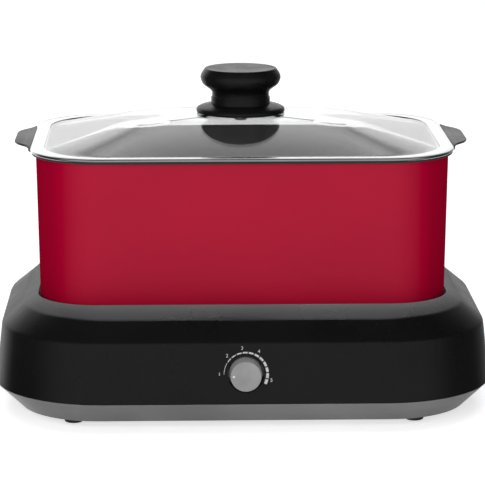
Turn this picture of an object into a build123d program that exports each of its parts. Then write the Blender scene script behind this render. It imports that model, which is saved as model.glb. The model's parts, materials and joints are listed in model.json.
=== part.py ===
from build123d import *
import math
import os

# Slow cooker: a lift-out oblong vessel with a glass lid, on a heated plastic base.
# Millimetres, +Z up, -Y is the side with the control dial. While it is drawn, the
# vessel's centre line is X = 0, Y = 0 and the feet stand on Z = 0. At export every
# piece is moved along Y, so that the origin is under the middle of the whole object.

# ---------------------------------------------------------------- driving sizes
# Vessel, measured outside its wall, at the underside of the flange
mouth_half_width = 143.0
mouth_half_depth = 95.6
mouth_corner = 45.4
vessel_height = 111.2
vessel_taper = 2.1            # how far the wall leans in from mouth to floor
vessel_corner_change = 5.9    # the corners are this much tighter at the floor
vessel_wall = 1.8
vessel_floor = 2.6
vessel_floor_round = 9.0
flange_reach = 3.0
flange_thickness = 1.5
tab_reach = 16.7
tab_rise = 2.0                # the tab steps up beside the lid's rim, level with its top
tab_rim_gap = 0.5
tab_root_half = 47.0
tab_shoulder_half = 37.5
tab_shoulder_reach = 7.8
tab_tip_half = 24.0
tab_tip_round = 28.0
tab_root_round = 4.5

# Base, stacked upwards from the floor that it stands on
foot_height = 5.5
tray_height = 16.1
band_height = 41.4
bevel_height = 12.6
collar_height = 4.6
well_depth = 12.2
# Base, in plan, from the vessel's mouth out to the seam between tray and shell
skirt_side = 29.3
skirt_front = 44.5
skirt_back = 44.5
skirt_front_corner = 77.0
skirt_back_corner = 111.0
band_lean = 4.8
band_corner_change = 5.5
bevel_run = 14.6
bevel_corner_change = 9.5
tray_run = 17.4
tray_corner_change = 21.0
shell_wall = 2.8
tray_wall = 2.5
tray_floor = 2.5
lip_height = 3.0
lip_thickness = 1.8
lip_clearance = 0.3

# Well and heating plate
well_clearance = 1.5
ledge_reach = 8.0
plate_thickness = 4.0
plate_clearance = 0.8
stud_radius = 2.5
stud_drop = 12.0
stud_inset = 34.0
element_radius = 3.2
element_inset = 30.0
element_bend = 26.0
element_gap_half = 24.0
cold_pin_radius = 1.2
cold_pin_length = 9.0
shield_thickness = 0.8
shield_inset = 14.0
shield_rim = 5.0
shield_window = 12.0
nut_across = 8.0
nut_height = 4.0
plate_screw_inset = 5.0
plate_screw_skin = 1.2        # metal left above the blind holes of the plate
plate_edge = 1.0
tag_width = 6.3
tag_thickness = 0.8
tag_height = 6.0
air = 0.05                    # between pieces that only rest near each other

# Feet and tray fasteners
foot_radius = 6.5
foot_round = 1.2
foot_inset_x = 37.9
foot_inset_front = 20.7
foot_inset_back = 27.0
foot_stem_radius = 3.0
foot_head_radius = 3.9
foot_head_height = 2.4
boss_radius = 4.5
cup_radius = 6.5
cup_height = 8.5
counterbore_radius = 4.2
counterbore_depth = 6.0
front_boss_x = 76.0
boss_wall_gap = 14.0
tray_screw_radius = 1.75
screw_head_radius = 3.6
screw_head_height = 2.2
tray_screw_bite = 12.0
thread_gap = 0.02             # a thread or a press fit, drawn almost line to line
hole_gap = 0.3                # a clearance hole round a screw
stud_gap = 0.2
vent_width = 3.2
vent_length = 46.0
vent_pitch = 9.0
vent_count = 7
vent_bank_x = 62.0

# Control dial and thermostat
dial_height = 42.0
dial_radius = 11.5
dial_face_radius = 10.3
dial_proud = 7.0
dial_depth = 12.0
dial_wall = 1.8
dial_edge = 0.7
dial_hub_radius = 5.2
dial_clearance = 0.9
pointer_radius = 0.7
pointer_inset = 2.2
pointer_depth = 0.5
shaft_radius = 3.0
shaft_flat = 0.8
shaft_fit = 0.05
shaft_length = 24.0
shaft_end_gap = 0.3
clip_thickness = 0.5
clip_width = 3.5
clip_gap = 3.0
bushing_radius = 5.0
bushing_reach = 5.5
thermostat_nut_across = 14.0
thermostat_nut_height = 2.4
bracket_gap = 8.2             # from the shell's inner face to the bracket
bracket_thickness = 1.2
bracket_half_width = 38.0
bracket_half_height = 11.0
bracket_round = 4.0
bracket_screw_x = 31.0
bracket_screw_radius = 1.45
bracket_pilot = 1.5
bracket_hole = 1.6
bracket_head_radius = 2.8
bracket_head_height = 1.8
bracket_screw_short = 2.0     # how much shorter than the gap the bracket's screws are
thermostat_width = 28.0
thermostat_depth = 16.0
thermostat_height = 26.0
thermostat_round = 2.0
blade_length = 20.0
blade_width = 8.0
blade_thickness = 0.6

# Mains inlet and wiring
gland_height = 38.0
gland_bore = 3.6
gland_body_radius = 6.6
gland_flange_radius = 9.5
gland_flange_thickness = 4.4
gland_seat_depth = 1.7        # how far the flat seat is sunk into the leaning back wall
gland_body_length = 13.0
gland_nut_across = 20.0
gland_nut_height = 4.0
gland_fit = 0.1
gland_round = 1.2
block_width = 44.0
block_depth = 14.0
block_height = 12.0
block_ways = 3
block_gap = 7.0
block_round = 1.5
way_radius = 2.2              # a wire's way through the terminal block
clamp_bore = 2.6
clamp_screw_radius = 2.4
clamp_screw_sink = 1.2
wire_radius = 1.3
fuse_radius = 2.0
fuse_length = 14.0
fuse_x = 44.0
fuse_drop = 0.6               # below the heat shield
saddle_sheet = 0.55

# Lid
lid_overhang = 3.8            # rim beyond the vessel's wall
rim_band = 9.3
rim_sheet = 0.6
rim_height = 2.3
hem_width = 2.4
rim_mouth_gap = 0.3
rim_leg = 4.4
glass_corner = 46.0
glass_thickness = 3.5
glass_rise = 17.9
glass_slope_run = 53.0        # the lower slope of the dome, measured in plan
glass_slope_rise = 15.0
glass_crown_half = 10.0
glass_crown_round = 0.8       # the crown's corner radius as a share of its half width
glass_hole = 4.2
glass_mid_share = 0.45        # one outline between the rim and the crease
glass_mid_rise = 0.55
glass_corner_loss = 0.45      # corners tighten by this much of the slope's run
knob_base_radius = 31.4
knob_base_edge = 4.2
knob_base_crown = 6.3
knob_base_hollow = 1.4
knob_base_wall = 3.0
knob_base_round = 1.0
gasket_radius = 9.0
gasket_thickness = 0.8
neck_radius = 20.9
waist_radius = 20.2
head_radius = 28.4
head_face_radius = 25.0
neck_height = 4.6             # heights on the knob are from the top of its base
neck_step = 0.2
waist_height = 8.0
flare_height = 11.4
flare_reach = 3.0
belly_height = 14.2
belly_inset = 1.6
widest_height = 18.2
brow_height = 22.7
brow_inset = 1.4
head_height = 25.2
dish_depth = 0.9
knob_bore = 2.6
knob_bore_depth = 12.0
lid_screw_radius = 2.5
lid_screw_head_radius = 4.8
lid_screw_head_height = 2.6
washer_radius = 8.5
washer_thickness = 1.0
lid_screw_gap = 0.3
lid_screw_bite = 0.6          # share of the knob's bore that the screw fills
screw_point_share = 0.3       # a screw's tip narrows to this share of its radius
recess_length_share = 1.1     # the cross recess, as shares of the head's radius and height
recess_width_share = 0.28
recess_depth_share = 0.55
head_chamfer_share = 0.3

# ---------------------------------------------------------------- derived places
tray_bottom = foot_height
seam = tray_bottom + tray_height
shoulder = seam + band_height
crown = shoulder + bevel_height
collar = crown + collar_height
plate_top = collar - well_depth
plate_bottom = plate_top - plate_thickness
flange_top = plate_top + vessel_height
flange_bottom = flange_top - flange_thickness
rim_top = flange_top + rim_height
glass_edge_top = rim_top - rim_sheet
glass_edge_bottom = glass_edge_top - glass_thickness
glass_top = glass_edge_top + glass_rise

skirt_half_width = mouth_half_width + skirt_side
skirt_front_y = mouth_half_depth + skirt_front
skirt_back_y = mouth_half_depth + skirt_back
sole_half_width = skirt_half_width - tray_run
sole_front = skirt_front_y - tray_run
sole_back = skirt_back_y - tray_run


def wall_lean(z):
    """How far the band leans in from the seam at height z."""
    return band_lean * (z - seam) / band_height


front_face = -(skirt_front_y - wall_lean(dial_height))
front_inner = front_face + shell_wall
back_face = skirt_back_y - wall_lean(gland_height)
dial_front = front_face - dial_proud
gland_seat = back_face - gland_seat_depth
gland_back = gland_seat + gland_flange_thickness
footprint_middle = (dial_front + max(gland_back, skirt_back_y)) / 2

nodes = {}


# ---------------------------------------------------------------- helpers
def corner_arc(x, y, z, radius, start):
    return Edge.make_circle(radius, Plane(origin=(x, y, z)), start, start + 90)


def outline(half_width, front, back, front_corner, back_corner, z):
    """A closed four-sided outline with rounded corners; front is towards -Y."""
    side_f, side_b = half_width - front_corner, half_width - back_corner
    low, high = -front + front_corner, back - back_corner
    return Wire([
        Edge.make_line((-side_f, -front, z), (side_f, -front, z)),
        corner_arc(side_f, low, z, front_corner, 270),
        Edge.make_line((half_width, low, z), (half_width, high, z)),
        corner_arc(side_b, high, z, back_corner, 0),
        Edge.make_line((side_b, back, z), (-side_b, back, z)),
        corner_arc(-side_b, high, z, back_corner, 90),
        Edge.make_line((-half_width, high, z), (-half_width, low, z)),
        corner_arc(-side_f, low, z, front_corner, 180),
    ])


def base_outline(inset, corner_change, z):
    """The base in plan, drawn in from its seam line."""
    return outline(skirt_half_width - inset, skirt_front_y - inset, skirt_back_y - inset,
                   skirt_front_corner - corner_change, skirt_back_corner - corner_change, z)


def mouth_outline(grow, z, corner=None):
    """The vessel's mouth in plan, grown outwards."""
    radius = mouth_corner + grow if corner is None else corner
    return outline(mouth_half_width + grow, mouth_half_depth + grow,
                   mouth_half_depth + grow, radius, radius, z)


def vessel_outline(grow, z):
    """The vessel's wall in plan at height z, with its taper, grown outwards."""
    drop = (flange_bottom - z) / (flange_bottom - plate_top)
    radius = mouth_corner - vessel_corner_change * drop + grow
    half_width = mouth_half_width - vessel_taper * drop + grow
    half_depth = mouth_half_depth - vessel_taper * drop + grow
    return outline(half_width, half_depth, half_depth, radius, radius, z)


def well_outline(grow, z):
    """The well that the vessel stands in: one straight-sided outline at any height."""
    return vessel_outline(well_clearance + grow, collar).moved(Location((0, 0, z - collar)))


def prism(wire, height):
    """A straight-sided solid, upwards from a level outline."""
    return Solid.extrude(Face(wire), Vector(0, 0, height))


def ring(outer, inner, height):
    return prism(outer, height) - prism(inner, height)


def loft_through(*wires):
    return Solid.make_loft(list(wires), ruled=True)


def post(x, y, z, radius, height):
    """An upright round bar standing on z."""
    return Solid.make_cylinder(radius, height, Plane(origin=(x, y, z)))


def bar(x, y, z, radius, length):
    """A round bar along +Y, starting at y."""
    return Solid.make_cylinder(radius, length, Plane(origin=(x, y, z), z_dir=(0, 1, 0)))


def block(x, y, z, width, depth, height):
    """A box that stands on z, with x and y at its middle."""
    corner = Plane(origin=(x - width / 2, y - depth / 2, z))
    return Solid.make_box(width, depth, height, corner)


def hexagon(across, height, plane):
    """A six-sided prism, across its flats, upwards from the plane."""
    sketch = plane * RegularPolygon(across / math.sqrt(3), 6)
    return extrude(sketch, amount=height, dir=plane.z_dir)


def turned(profile):
    """A solid turned about the Z axis from a closed outline of (radius, z) points and arcs."""
    return revolve(make_face(Plane.XZ * profile), axis=Axis.Z)


def pan_screw(x, y, z, radius, length, head_radius, head_height, up=True):
    """A pan-head screw with a cross recess; z is where its head seats, the shank goes up or down."""
    way = 1 if up else -1
    plane = Plane(origin=(x, y, z), z_dir=(0, 0, way))
    shank = Solid.make_cylinder(radius, length, plane)
    tip = Solid.make_cone(radius, radius * screw_point_share, radius, plane.offset(length))
    head = Solid.make_cylinder(head_radius, head_height, plane.offset(-head_height))
    head = chamfer(head.edges().group_by(Axis.Z)[0 if up else -1], head_height * head_chamfer_share)
    screw = head + shank + tip
    slot_length, slot_width = head_radius * recess_length_share, head_radius * recess_width_share
    slot_depth = head_height * recess_depth_share
    for turn in (0, 90):
        slot = Box(slot_length, slot_width, slot_depth * 2)
        screw -= plane.offset(-head_height) * Rot(0, 0, turn) * slot
    return screw


def keep(name, shape):
    """Files a piece under its name, moved so that the origin is under the object's middle."""
    solids = [solid.moved(Location((0, -footprint_middle, 0))) for solid in shape.solids()]
    nodes[name] = solids[0] if len(solids) == 1 else Compound(solids)


# ---------------------------------------------------------------- base: shell
def shell_bosses():
    """Where the six tray screws go: two in front, two behind and one on each side."""
    side_x = (skirt_half_width - band_lean - shell_wall + mouth_half_width + shell_wall) / 2
    front_y = -(skirt_front_y - band_lean - shell_wall - boss_wall_gap)
    back_y = skirt_back_y - band_lean - shell_wall - boss_wall_gap
    return [(sign * x, y) for x, y in ((front_boss_x, front_y), (side_x, 0.0),
                                       (front_boss_x, back_y)) for sign in (-1, 1)]


def make_base_shell():
    outside = loft_through(
        base_outline(0, 0, seam),
        base_outline(band_lean, band_corner_change, shoulder),
        base_outline(band_lean + bevel_run, band_corner_change + bevel_corner_change, crown),
        well_outline(0, collar))
    inside = loft_through(
        base_outline(shell_wall, shell_wall, seam),
        base_outline(band_lean + shell_wall, band_corner_change + shell_wall, shoulder - shell_wall / 2),
        base_outline(band_lean + bevel_run + shell_wall,
                     band_corner_change + bevel_corner_change + shell_wall, crown - shell_wall),
        well_outline(shell_wall, collar - shell_wall))
    ledge_bottom = plate_bottom - shell_wall
    well_wall = prism(well_outline(shell_wall, ledge_bottom), collar - ledge_bottom) & outside
    shell = (outside - inside) + well_wall
    # Posts for the tray screws hang from the roof; posts behind the front wall carry the bracket
    post_bottom = tray_bottom + cup_height
    for x, y in shell_bosses():
        hung = post(x, y, seam, boss_radius, collar - seam) & outside
        shell += hung + post(x, y, post_bottom, boss_radius, seam - post_bottom)
    for x in (-bracket_screw_x, bracket_screw_x):
        reach = bracket_gap + shell_wall / 2
        shell += bar(x, front_inner - shell_wall / 2, dial_height, boss_radius - 1, reach)
    inlet_ring = bar(0, gland_seat - gland_body_length / 2, gland_height,
                     gland_flange_radius + 2, gland_body_length / 2)
    shell += inlet_ring
    # The well goes right through, and leaves a ledge that carries the heating plate
    shell -= prism(well_outline(0, plate_bottom), collar - plate_bottom + 1)
    shell -= prism(well_outline(-ledge_reach, ledge_bottom - 1), shell_wall + 2)
    # Round holes: dial, inlet and its flat seat, screw pilots
    shell -= bar(0, front_face - shell_wall * 2, dial_height, dial_radius + dial_clearance,
                 shell_wall * 4)
    shell -= bar(0, back_face - gland_body_length * 2, gland_height,
                 gland_body_radius + gland_fit, gland_body_length * 3)
    shell -= bar(0, gland_seat, gland_height, gland_flange_radius + gland_fit * 3,
                 gland_flange_thickness * 2)
    for x, y in shell_bosses():
        shell -= post(x, y, post_bottom, tray_screw_radius + thread_gap, tray_screw_bite + 3)
    for x in (-bracket_screw_x, bracket_screw_x):
        shell -= bar(x, front_inner, dial_height, bracket_pilot, bracket_gap + 1)
    for x, y in plate_screw_places():
        shell -= post(x, y, ledge_bottom - 1, tray_screw_radius + stud_gap, shell_wall + 2)
    keep("base_shell", shell)


# ---------------------------------------------------------------- base: tray and feet
def foot_places():
    x = sole_half_width - foot_inset_x
    front, back = -(sole_front - foot_inset_front), sole_back - foot_inset_back
    return {"front_left": (-x, front), "front_right": (x, front),
            "rear_left": (-x, back), "rear_right": (x, back)}


def make_base_tray():
    outside = loft_through(base_outline(tray_run, tray_corner_change, tray_bottom),
                           base_outline(0, 0, seam))
    inside = loft_through(
        base_outline(tray_run + tray_wall, tray_corner_change + tray_wall, tray_bottom + tray_floor),
        base_outline(tray_wall, tray_wall, seam))
    lip_inset = shell_wall + lip_clearance + wall_lean(seam + lip_height)
    lip = ring(base_outline(lip_inset, lip_inset, seam - lip_height),
               base_outline(lip_inset + lip_thickness, lip_inset + lip_thickness,
                            seam - lip_height), lip_height * 2)
    tray = (outside - inside) + (lip & (outside + prism(base_outline(0, 0, seam), lip_height)))
    for x, y in shell_bosses():
        tray += post(x, y, tray_bottom, cup_radius, cup_height) & prism(
            base_outline(tray_run, tray_corner_change, tray_bottom), cup_height)
    for x, y in shell_bosses():
        tray -= post(x, y, tray_bottom - 1, counterbore_radius, counterbore_depth + 1)
        tray -= post(x, y, tray_bottom, tray_screw_radius + hole_gap, cup_height + 1)
    for x, y in foot_places().values():
        tray -= post(x, y, tray_bottom - 1, foot_stem_radius + air, tray_floor + 2)
    for side in (-1, 1):
        for row in range(vent_count):
            x = side * (vent_bank_x + (row - (vent_count - 1) / 2) * vent_pitch)
            slot = extrude(Plane.XY * SlotOverall(vent_length, vent_width, rotation=90),
                           amount=tray_floor + 2)
            tray -= slot.moved(Location((x, 0, tray_bottom - 1)))
    keep("base_tray", tray)


def make_feet():
    for place, (x, y) in foot_places().items():
        pad = post(x, y, 0, foot_radius, foot_height)
        pad = fillet(pad.edges().group_by(Axis.Z)[0], foot_round)
        stem = post(x, y, foot_height, foot_stem_radius, tray_floor + air)
        head = post(x, y, foot_height + tray_floor + air, foot_head_radius, foot_head_height)
        head = chamfer(head.edges().group_by(Axis.Z)[-1], foot_head_height / 3)
        keep("foot_" + place, pad + stem + head)


def make_tray_screws():
    seat = tray_bottom + counterbore_depth
    length = cup_height - counterbore_depth + tray_screw_bite
    screws = [pan_screw(x, y, seat, tray_screw_radius, length, screw_head_radius, screw_head_height)
              for x, y in shell_bosses()]
    keep("tray_screws", Compound([s.solids()[0] for s in screws]))


# ---------------------------------------------------------------- base: heating plate
def plate_screw_places():
    """Four screws that hold the plate down on the ledge of the well."""
    x = mouth_half_width - vessel_taper - plate_screw_inset
    y = mouth_half_depth / 2
    return [(sx * x, sy * y) for sx in (-1, 1) for sy in (-1, 1)]


def stud_places():
    x, y = mouth_half_width - stud_inset * 2, mouth_half_depth - stud_inset * 2
    return [(sx * x, sy * y) for sx in (-1, 1) for sy in (-1, 1)]


def make_heating_plate():
    plate = prism(well_outline(-plate_clearance, plate_bottom), plate_thickness)
    plate = fillet(plate.edges().group_by(Axis.Z)[-1], plate_edge)
    for x, y in stud_places():
        plate += post(x, y, plate_bottom - stud_drop, stud_radius, stud_drop + 0.5)
    for x, y in plate_screw_places():
        plate -= post(x, y, plate_bottom, tray_screw_radius + thread_gap,
                      plate_thickness - plate_screw_skin)
    keep("heating_plate", plate)
    seat = plate_bottom - shell_wall
    length = shell_wall + plate_thickness - plate_screw_skin - tray_screw_radius - stud_gap
    screws = [pan_screw(x, y, seat, tray_screw_radius, length, screw_head_radius, screw_head_height)
              for x, y in plate_screw_places()]
    keep("plate_screws", Compound([s.solids()[0] for s in screws]))


def make_element():
    """One sheathed heater bent into a loop, its two ends facing each other at the back."""
    z = plate_bottom - element_radius - air
    x, y = mouth_half_width - element_inset, mouth_half_depth - element_inset
    route = FilletPolyline((-element_gap_half, y, z), (-x, y, z), (-x, -y, z), (x, -y, z),
                           (x, y, z), (element_gap_half, y, z), radius=element_bend)
    start = Plane(origin=(-element_gap_half, y, z), z_dir=(-1, 0, 0))
    keep("heating_element", sweep(start * Circle(element_radius), path=route))
    pins = []
    for side, name in ((-1, "left"), (1, "right")):
        foot = Plane(origin=(side * element_gap_half, y, z), z_dir=(-side, 0, 0))
        pin = Solid.make_cylinder(cold_pin_radius, cold_pin_length, foot)
        tag = block(side * (element_gap_half - cold_pin_length), y, z - tag_height / 2,
                    tag_width, tag_thickness, tag_height)
        keep("element_pin_" + name, pin + tag)
        pins.append((side * (element_gap_half - cold_pin_length), y, z - tag_height / 2))
    return pins


def make_heat_shield():
    top = plate_bottom - 2 * (element_radius + air)
    sheet = prism(well_outline(-shield_inset, top - shield_thickness), shield_thickness)
    rim = ring(well_outline(-shield_inset, top - shield_rim),
               well_outline(-shield_inset - shield_thickness, top - shield_rim), shield_rim)
    shield = sheet + rim
    tag_y = mouth_half_depth - element_inset
    shield -= block(0, tag_y, top - shield_rim - 1, element_gap_half * 2, shield_window,
                    shield_rim + 2)
    nuts = []
    for x, y in stud_places():
        shield -= post(x, y, top - shield_rim - 1, stud_radius + stud_gap, shield_rim + 2)
        under = Plane(origin=(x, y, top - shield_thickness - nut_height))
        nuts.append(hexagon(nut_across, nut_height, under) -
                    post(x, y, top - shield_rim * 2, stud_radius + thread_gap, shield_rim * 3))
    keep("heat_shield", shield)
    keep("shield_nuts", Compound([n.solids()[0] for n in nuts]))
    return top - shield_thickness


# ---------------------------------------------------------------- base: control and wiring
bracket_front = front_inner + bracket_gap
body_front = bracket_front + bracket_thickness


def make_thermostat():
    height_low = dial_height - thermostat_height / 2
    body = block(0, body_front + thermostat_depth / 2, height_low,
                 thermostat_width, thermostat_depth, thermostat_height)
    body = fillet(body.edges().filter_by(Axis.Y), thermostat_round)
    body += bar(0, body_front - bushing_reach, dial_height, bushing_radius, bushing_reach)
    body -= bar(0, body_front - bushing_reach - 1, dial_height, shaft_radius + shaft_fit,
                bushing_reach + 1 + thermostat_depth * 0.6)
    keep("thermostat_body", body)
    plate = block(0, bracket_front + bracket_thickness / 2, dial_height - bracket_half_height,
                  bracket_half_width * 2, bracket_thickness, bracket_half_height * 2)
    plate = fillet(plate.edges().filter_by(Axis.Y), bracket_round)
    plate -= bar(0, bracket_front - 1, dial_height, bushing_radius + air, bracket_thickness + 2)
    for x in (-bracket_screw_x, bracket_screw_x):
        plate -= bar(x, bracket_front - 1, dial_height, bracket_hole, bracket_thickness + 2)
    keep("thermostat_bracket", plate)
    facing = Plane(origin=(0, bracket_front - thermostat_nut_height, dial_height), z_dir=(0, 1, 0))
    nut = hexagon(thermostat_nut_across, thermostat_nut_height, facing)
    nut -= bar(0, bracket_front - thermostat_nut_height - 1, dial_height,
               bushing_radius + thread_gap, thermostat_nut_height + 2)
    keep("thermostat_nut", nut)
    screws = []
    for x in (-bracket_screw_x, bracket_screw_x):
        screw = pan_screw(0, 0, 0, bracket_screw_radius, bracket_gap - bracket_screw_short,
                          bracket_head_radius, bracket_head_height)
        screws.append(screw.moved(Location((x, body_front, dial_height), (90, 0, 0))))
    keep("bracket_screws", Compound([s.solids()[0] for s in screws]))
    blade_y = body_front + thermostat_depth - blade_width
    blade = block(thermostat_width / 2 + blade_length / 2 - 2, blade_y,
                  dial_height + thermostat_height / 2, blade_length, blade_width, blade_thickness)
    keep("bimetal_blade", blade)
    return body_front + thermostat_depth


def make_dial():
    dial_back = dial_front + dial_depth
    plane = Plane(origin=(0, dial_back, dial_height), z_dir=(0, -1, 0))
    body = Solid.make_cone(dial_radius, dial_face_radius, dial_depth, plane)
    body = fillet(body.edges().group_by(Axis.Y)[0], dial_edge)
    hollow = Solid.make_cylinder(dial_face_radius - dial_wall, dial_depth - dial_wall * 1.5, plane)
    hub = Solid.make_cylinder(dial_hub_radius, dial_depth - dial_wall, plane)
    body = (body - hollow) + hub
    bore_length = dial_depth - dial_wall * 1.5
    bore_start = dial_back - bore_length
    body -= flatted_bar(bore_start, shaft_radius + shaft_fit / 2, bore_length + 1)
    pointer_x = -(dial_face_radius - pointer_inset)
    body -= bar(pointer_x, dial_front - 1, dial_height, pointer_radius, 1 + pointer_depth)
    keep("control_dial", body)
    keep("dial_pointer", bar(pointer_x, dial_front, dial_height, pointer_radius, pointer_depth))
    shaft_start = bore_start + shaft_end_gap
    shaft = bar(0, shaft_start, dial_height, shaft_radius, shaft_length)
    cut = block(0, shaft_start + bore_length / 2, dial_height + shaft_radius - shaft_flat,
                shaft_radius * 2, bore_length, shaft_radius)
    keep("thermostat_shaft", shaft - cut)
    clip_start = dial_back - clip_width - clip_thickness
    clip = bar(0, clip_start, dial_height, dial_hub_radius + clip_thickness, clip_width)
    clip -= bar(0, clip_start - 1, dial_height, dial_hub_radius + thread_gap / 2, clip_width + 2)
    clip -= block(0, clip_start + clip_width / 2, dial_height, clip_gap, clip_width + 2,
                  dial_hub_radius * 2)
    keep("hub_clip", clip)


def flatted_bar(start, radius, length):
    """A round bar along +Y on the dial's axis, with one flat on top."""
    flat = block(0, start + length / 2, dial_height + radius - shaft_flat, radius * 2, length, radius)
    return bar(0, start, dial_height, radius, length) - flat


def make_gland():
    start = gland_seat - gland_body_length
    body = bar(0, start, gland_height, gland_body_radius, gland_body_length)
    flange = bar(0, gland_seat, gland_height, gland_flange_radius, gland_flange_thickness)
    flange = fillet(flange.edges().group_by(Axis.Y)[-1], gland_round)
    gland = body + flange
    gland -= bar(0, start - 1, gland_height, gland_bore,
                 gland_body_length + gland_flange_thickness + 2)
    keep("inlet_gland", gland)
    nut_start = gland_seat - gland_body_length / 2 - gland_nut_height
    facing = Plane(origin=(0, nut_start, gland_height), z_dir=(0, 1, 0))
    nut = hexagon(gland_nut_across, gland_nut_height, facing)
    nut -= bar(0, nut_start - 1, gland_height, gland_body_radius + thread_gap, gland_nut_height + 2)
    keep("gland_nut", nut)


def block_y():
    """The terminal block stands on the tray, just in front of the inlet."""
    return gland_seat - gland_body_length - block_gap - block_depth / 2


def make_terminal_block():
    base = tray_bottom + tray_floor
    body = block(0, block_y(), base, block_width, block_depth, block_height)
    body = fillet(body.edges().filter_by(Axis.Z), block_round)
    pitch = block_width / block_ways
    screws = []
    way_height = base + block_height / 3
    clamp_bottom = way_height + way_radius + air * 2
    for way in range(block_ways):
        x = (way - (block_ways - 1) / 2) * pitch
        body -= bar(x, block_y() - block_depth, way_height, way_radius, block_depth * 2)
        body -= post(x, block_y(), way_height, clamp_bore, block_height)
        screws.append(post(x, block_y(), clamp_bottom, clamp_screw_radius,
                           base + block_height - clamp_screw_sink - clamp_bottom))
    keep("terminal_block", body)
    keep("terminal_screws", Compound(screws))
    return base, pitch


def wire(name, *points):
    """A plain insulated lead through its points, with equal bends."""
    route = FilletPolyline(*points, radius=wire_radius * 3.5)
    start = Vector(*points[1]) - Vector(*points[0])
    section = Plane(origin=points[0], z_dir=start)
    keep(name, sweep(section * Circle(wire_radius), path=route))


def make_wiring(pins, shield_bottom, thermostat_back):
    base, pitch = make_terminal_block()
    low = base + block_height / 3
    front_of_block = block_y() - block_depth / 2
    fuse_z = shield_bottom - fuse_radius - fuse_drop
    # The fuse lies along X under the shield, in a wire-thin saddle
    fuse = Solid.make_cylinder(fuse_radius, fuse_length,
                               Plane(origin=(fuse_x, 0, fuse_z), z_dir=(1, 0, 0)))
    keep("thermal_fuse", fuse)
    saddle = Solid.make_cylinder(fuse_radius + saddle_sheet, fuse_length / 2,
                                 Plane(origin=(fuse_x + fuse_length / 4, 0, fuse_z), z_dir=(1, 0, 0)))
    saddle -= Solid.make_cylinder(fuse_radius + thread_gap, fuse_length,
                                  Plane(origin=(fuse_x, 0, fuse_z), z_dir=(1, 0, 0)))
    keep("fuse_saddle", saddle)
    side_z = dial_height - thermostat_height / 4
    side_x = thermostat_width / 4
    fuse_end = fuse_x + fuse_length
    tag_left, tag_right = pins
    clear = wire_radius * 8
    wire("wire_live", (-pitch, front_of_block, low), (-pitch, thermostat_back + clear * 4, low),
         (-side_x, thermostat_back + clear, side_z), (-side_x, thermostat_back, side_z))
    wire("wire_switched", (side_x, thermostat_back, side_z),
         (side_x, thermostat_back + clear, side_z),
         (fuse_x / 2, thermostat_back / 2, (side_z + fuse_z) / 2),
         (fuse_x - clear * 1.5, 0, fuse_z), (fuse_x, 0, fuse_z))
    wire("wire_heater", (fuse_end, 0, fuse_z), (fuse_end + clear, 0, fuse_z),
         (fuse_end + clear / 2, tag_right[1] / 2, fuse_z - clear),
         (tag_right[0], tag_right[1], fuse_z - clear), tag_right)
    wire("wire_neutral", (0, front_of_block, low), (0, front_of_block - clear, low),
         (tag_left[0], tag_left[1], fuse_z - clear * 1.5), tag_left)
    earth_x, earth_y = pitch + clear * 2, tag_right[1] + clear
    wire("wire_earth", (pitch, front_of_block, low), (pitch, front_of_block - clear, low),
         (earth_x, earth_y, low + clear), (earth_x, earth_y, shield_bottom))


# ---------------------------------------------------------------- vessel
def tab_plan():
    """The finger tab on the +X side in plan, from inside the flange to its tip."""
    x0 = mouth_half_width
    x1 = mouth_half_width + lid_overhang + tab_rim_gap
    x2 = mouth_half_width + tab_shoulder_reach
    x3 = mouth_half_width + tab_reach
    half = [(x0, tab_root_half), (x1, tab_root_half), (x2, tab_shoulder_half), (x3, tab_tip_half)]
    points = half + [(x, -y) for x, y in reversed(half)]
    sketch = make_face(Polyline(*points, close=True))
    sketch = fillet([v for v in sketch.vertices() if abs(v.X - x3) < 0.01], tab_tip_round)
    return fillet([v for v in sketch.vertices() if abs(v.X - x2) < 0.01], tab_root_round)


def make_tab(side):
    """A tab of flange sheet: level below the lid's rim, up a step beside it, and level again."""
    step = mouth_half_width + lid_overhang + tab_rim_gap
    whole = extrude(tab_plan(), amount=tab_rise + flange_thickness)
    below = block(step + tab_reach / 2 + flange_thickness, 0, 0, tab_reach, tab_root_half * 3, tab_rise)
    above = block(step - tab_reach / 2, 0, flange_thickness, tab_reach, tab_root_half * 3,
                  tab_rise + flange_thickness)
    tab = (whole - below - above).moved(Location((0, 0, flange_bottom)))
    return tab if side > 0 else mirror(tab, about=Plane.YZ)


def make_vessel():
    outside = loft_through(vessel_outline(0, plate_top), vessel_outline(0, flange_bottom))
    outside = fillet(outside.edges().group_by(Axis.Z)[0], vessel_floor_round)
    inside = loft_through(vessel_outline(-vessel_wall, plate_top + vessel_floor),
                          vessel_outline(-vessel_wall, flange_top + 1))
    inside = fillet(inside.edges().group_by(Axis.Z)[0], vessel_floor_round - vessel_wall)
    flange = prism(mouth_outline(flange_reach, flange_bottom), flange_thickness)
    for side in (-1, 1):
        flange += make_tab(side)
    keep("vessel", (outside + flange) - inside)


# ---------------------------------------------------------------- lid
def make_lid_rim():
    outer = mouth_outline(lid_overhang, flange_top)
    rim = prism(outer, rim_height)
    rim = fillet(rim.edges().group_by(Axis.Z)[-1], rim_height * 0.45)
    window = mouth_outline(lid_overhang - rim_band, flange_top - 1, glass_corner)
    rim -= prism(window, rim_height + 2)
    wall_out = -vessel_wall - rim_mouth_gap
    wall_in = wall_out - rim_sheet
    pocket_top = rim_height - rim_sheet
    rim -= ring(mouth_outline(lid_overhang - hem_width, flange_top),
                mouth_outline(wall_out, flange_top), pocket_top)
    rim -= prism(mouth_outline(wall_in, flange_top), pocket_top)
    leg_bottom = glass_edge_bottom - rim_sheet
    rim += ring(mouth_outline(wall_out, leg_bottom), mouth_outline(wall_in, leg_bottom),
                glass_edge_top - leg_bottom)
    rim += ring(mouth_outline(wall_out, leg_bottom),
                mouth_outline(wall_out - rim_leg, leg_bottom), rim_sheet)
    keep("lid_rim", rim)


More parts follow.
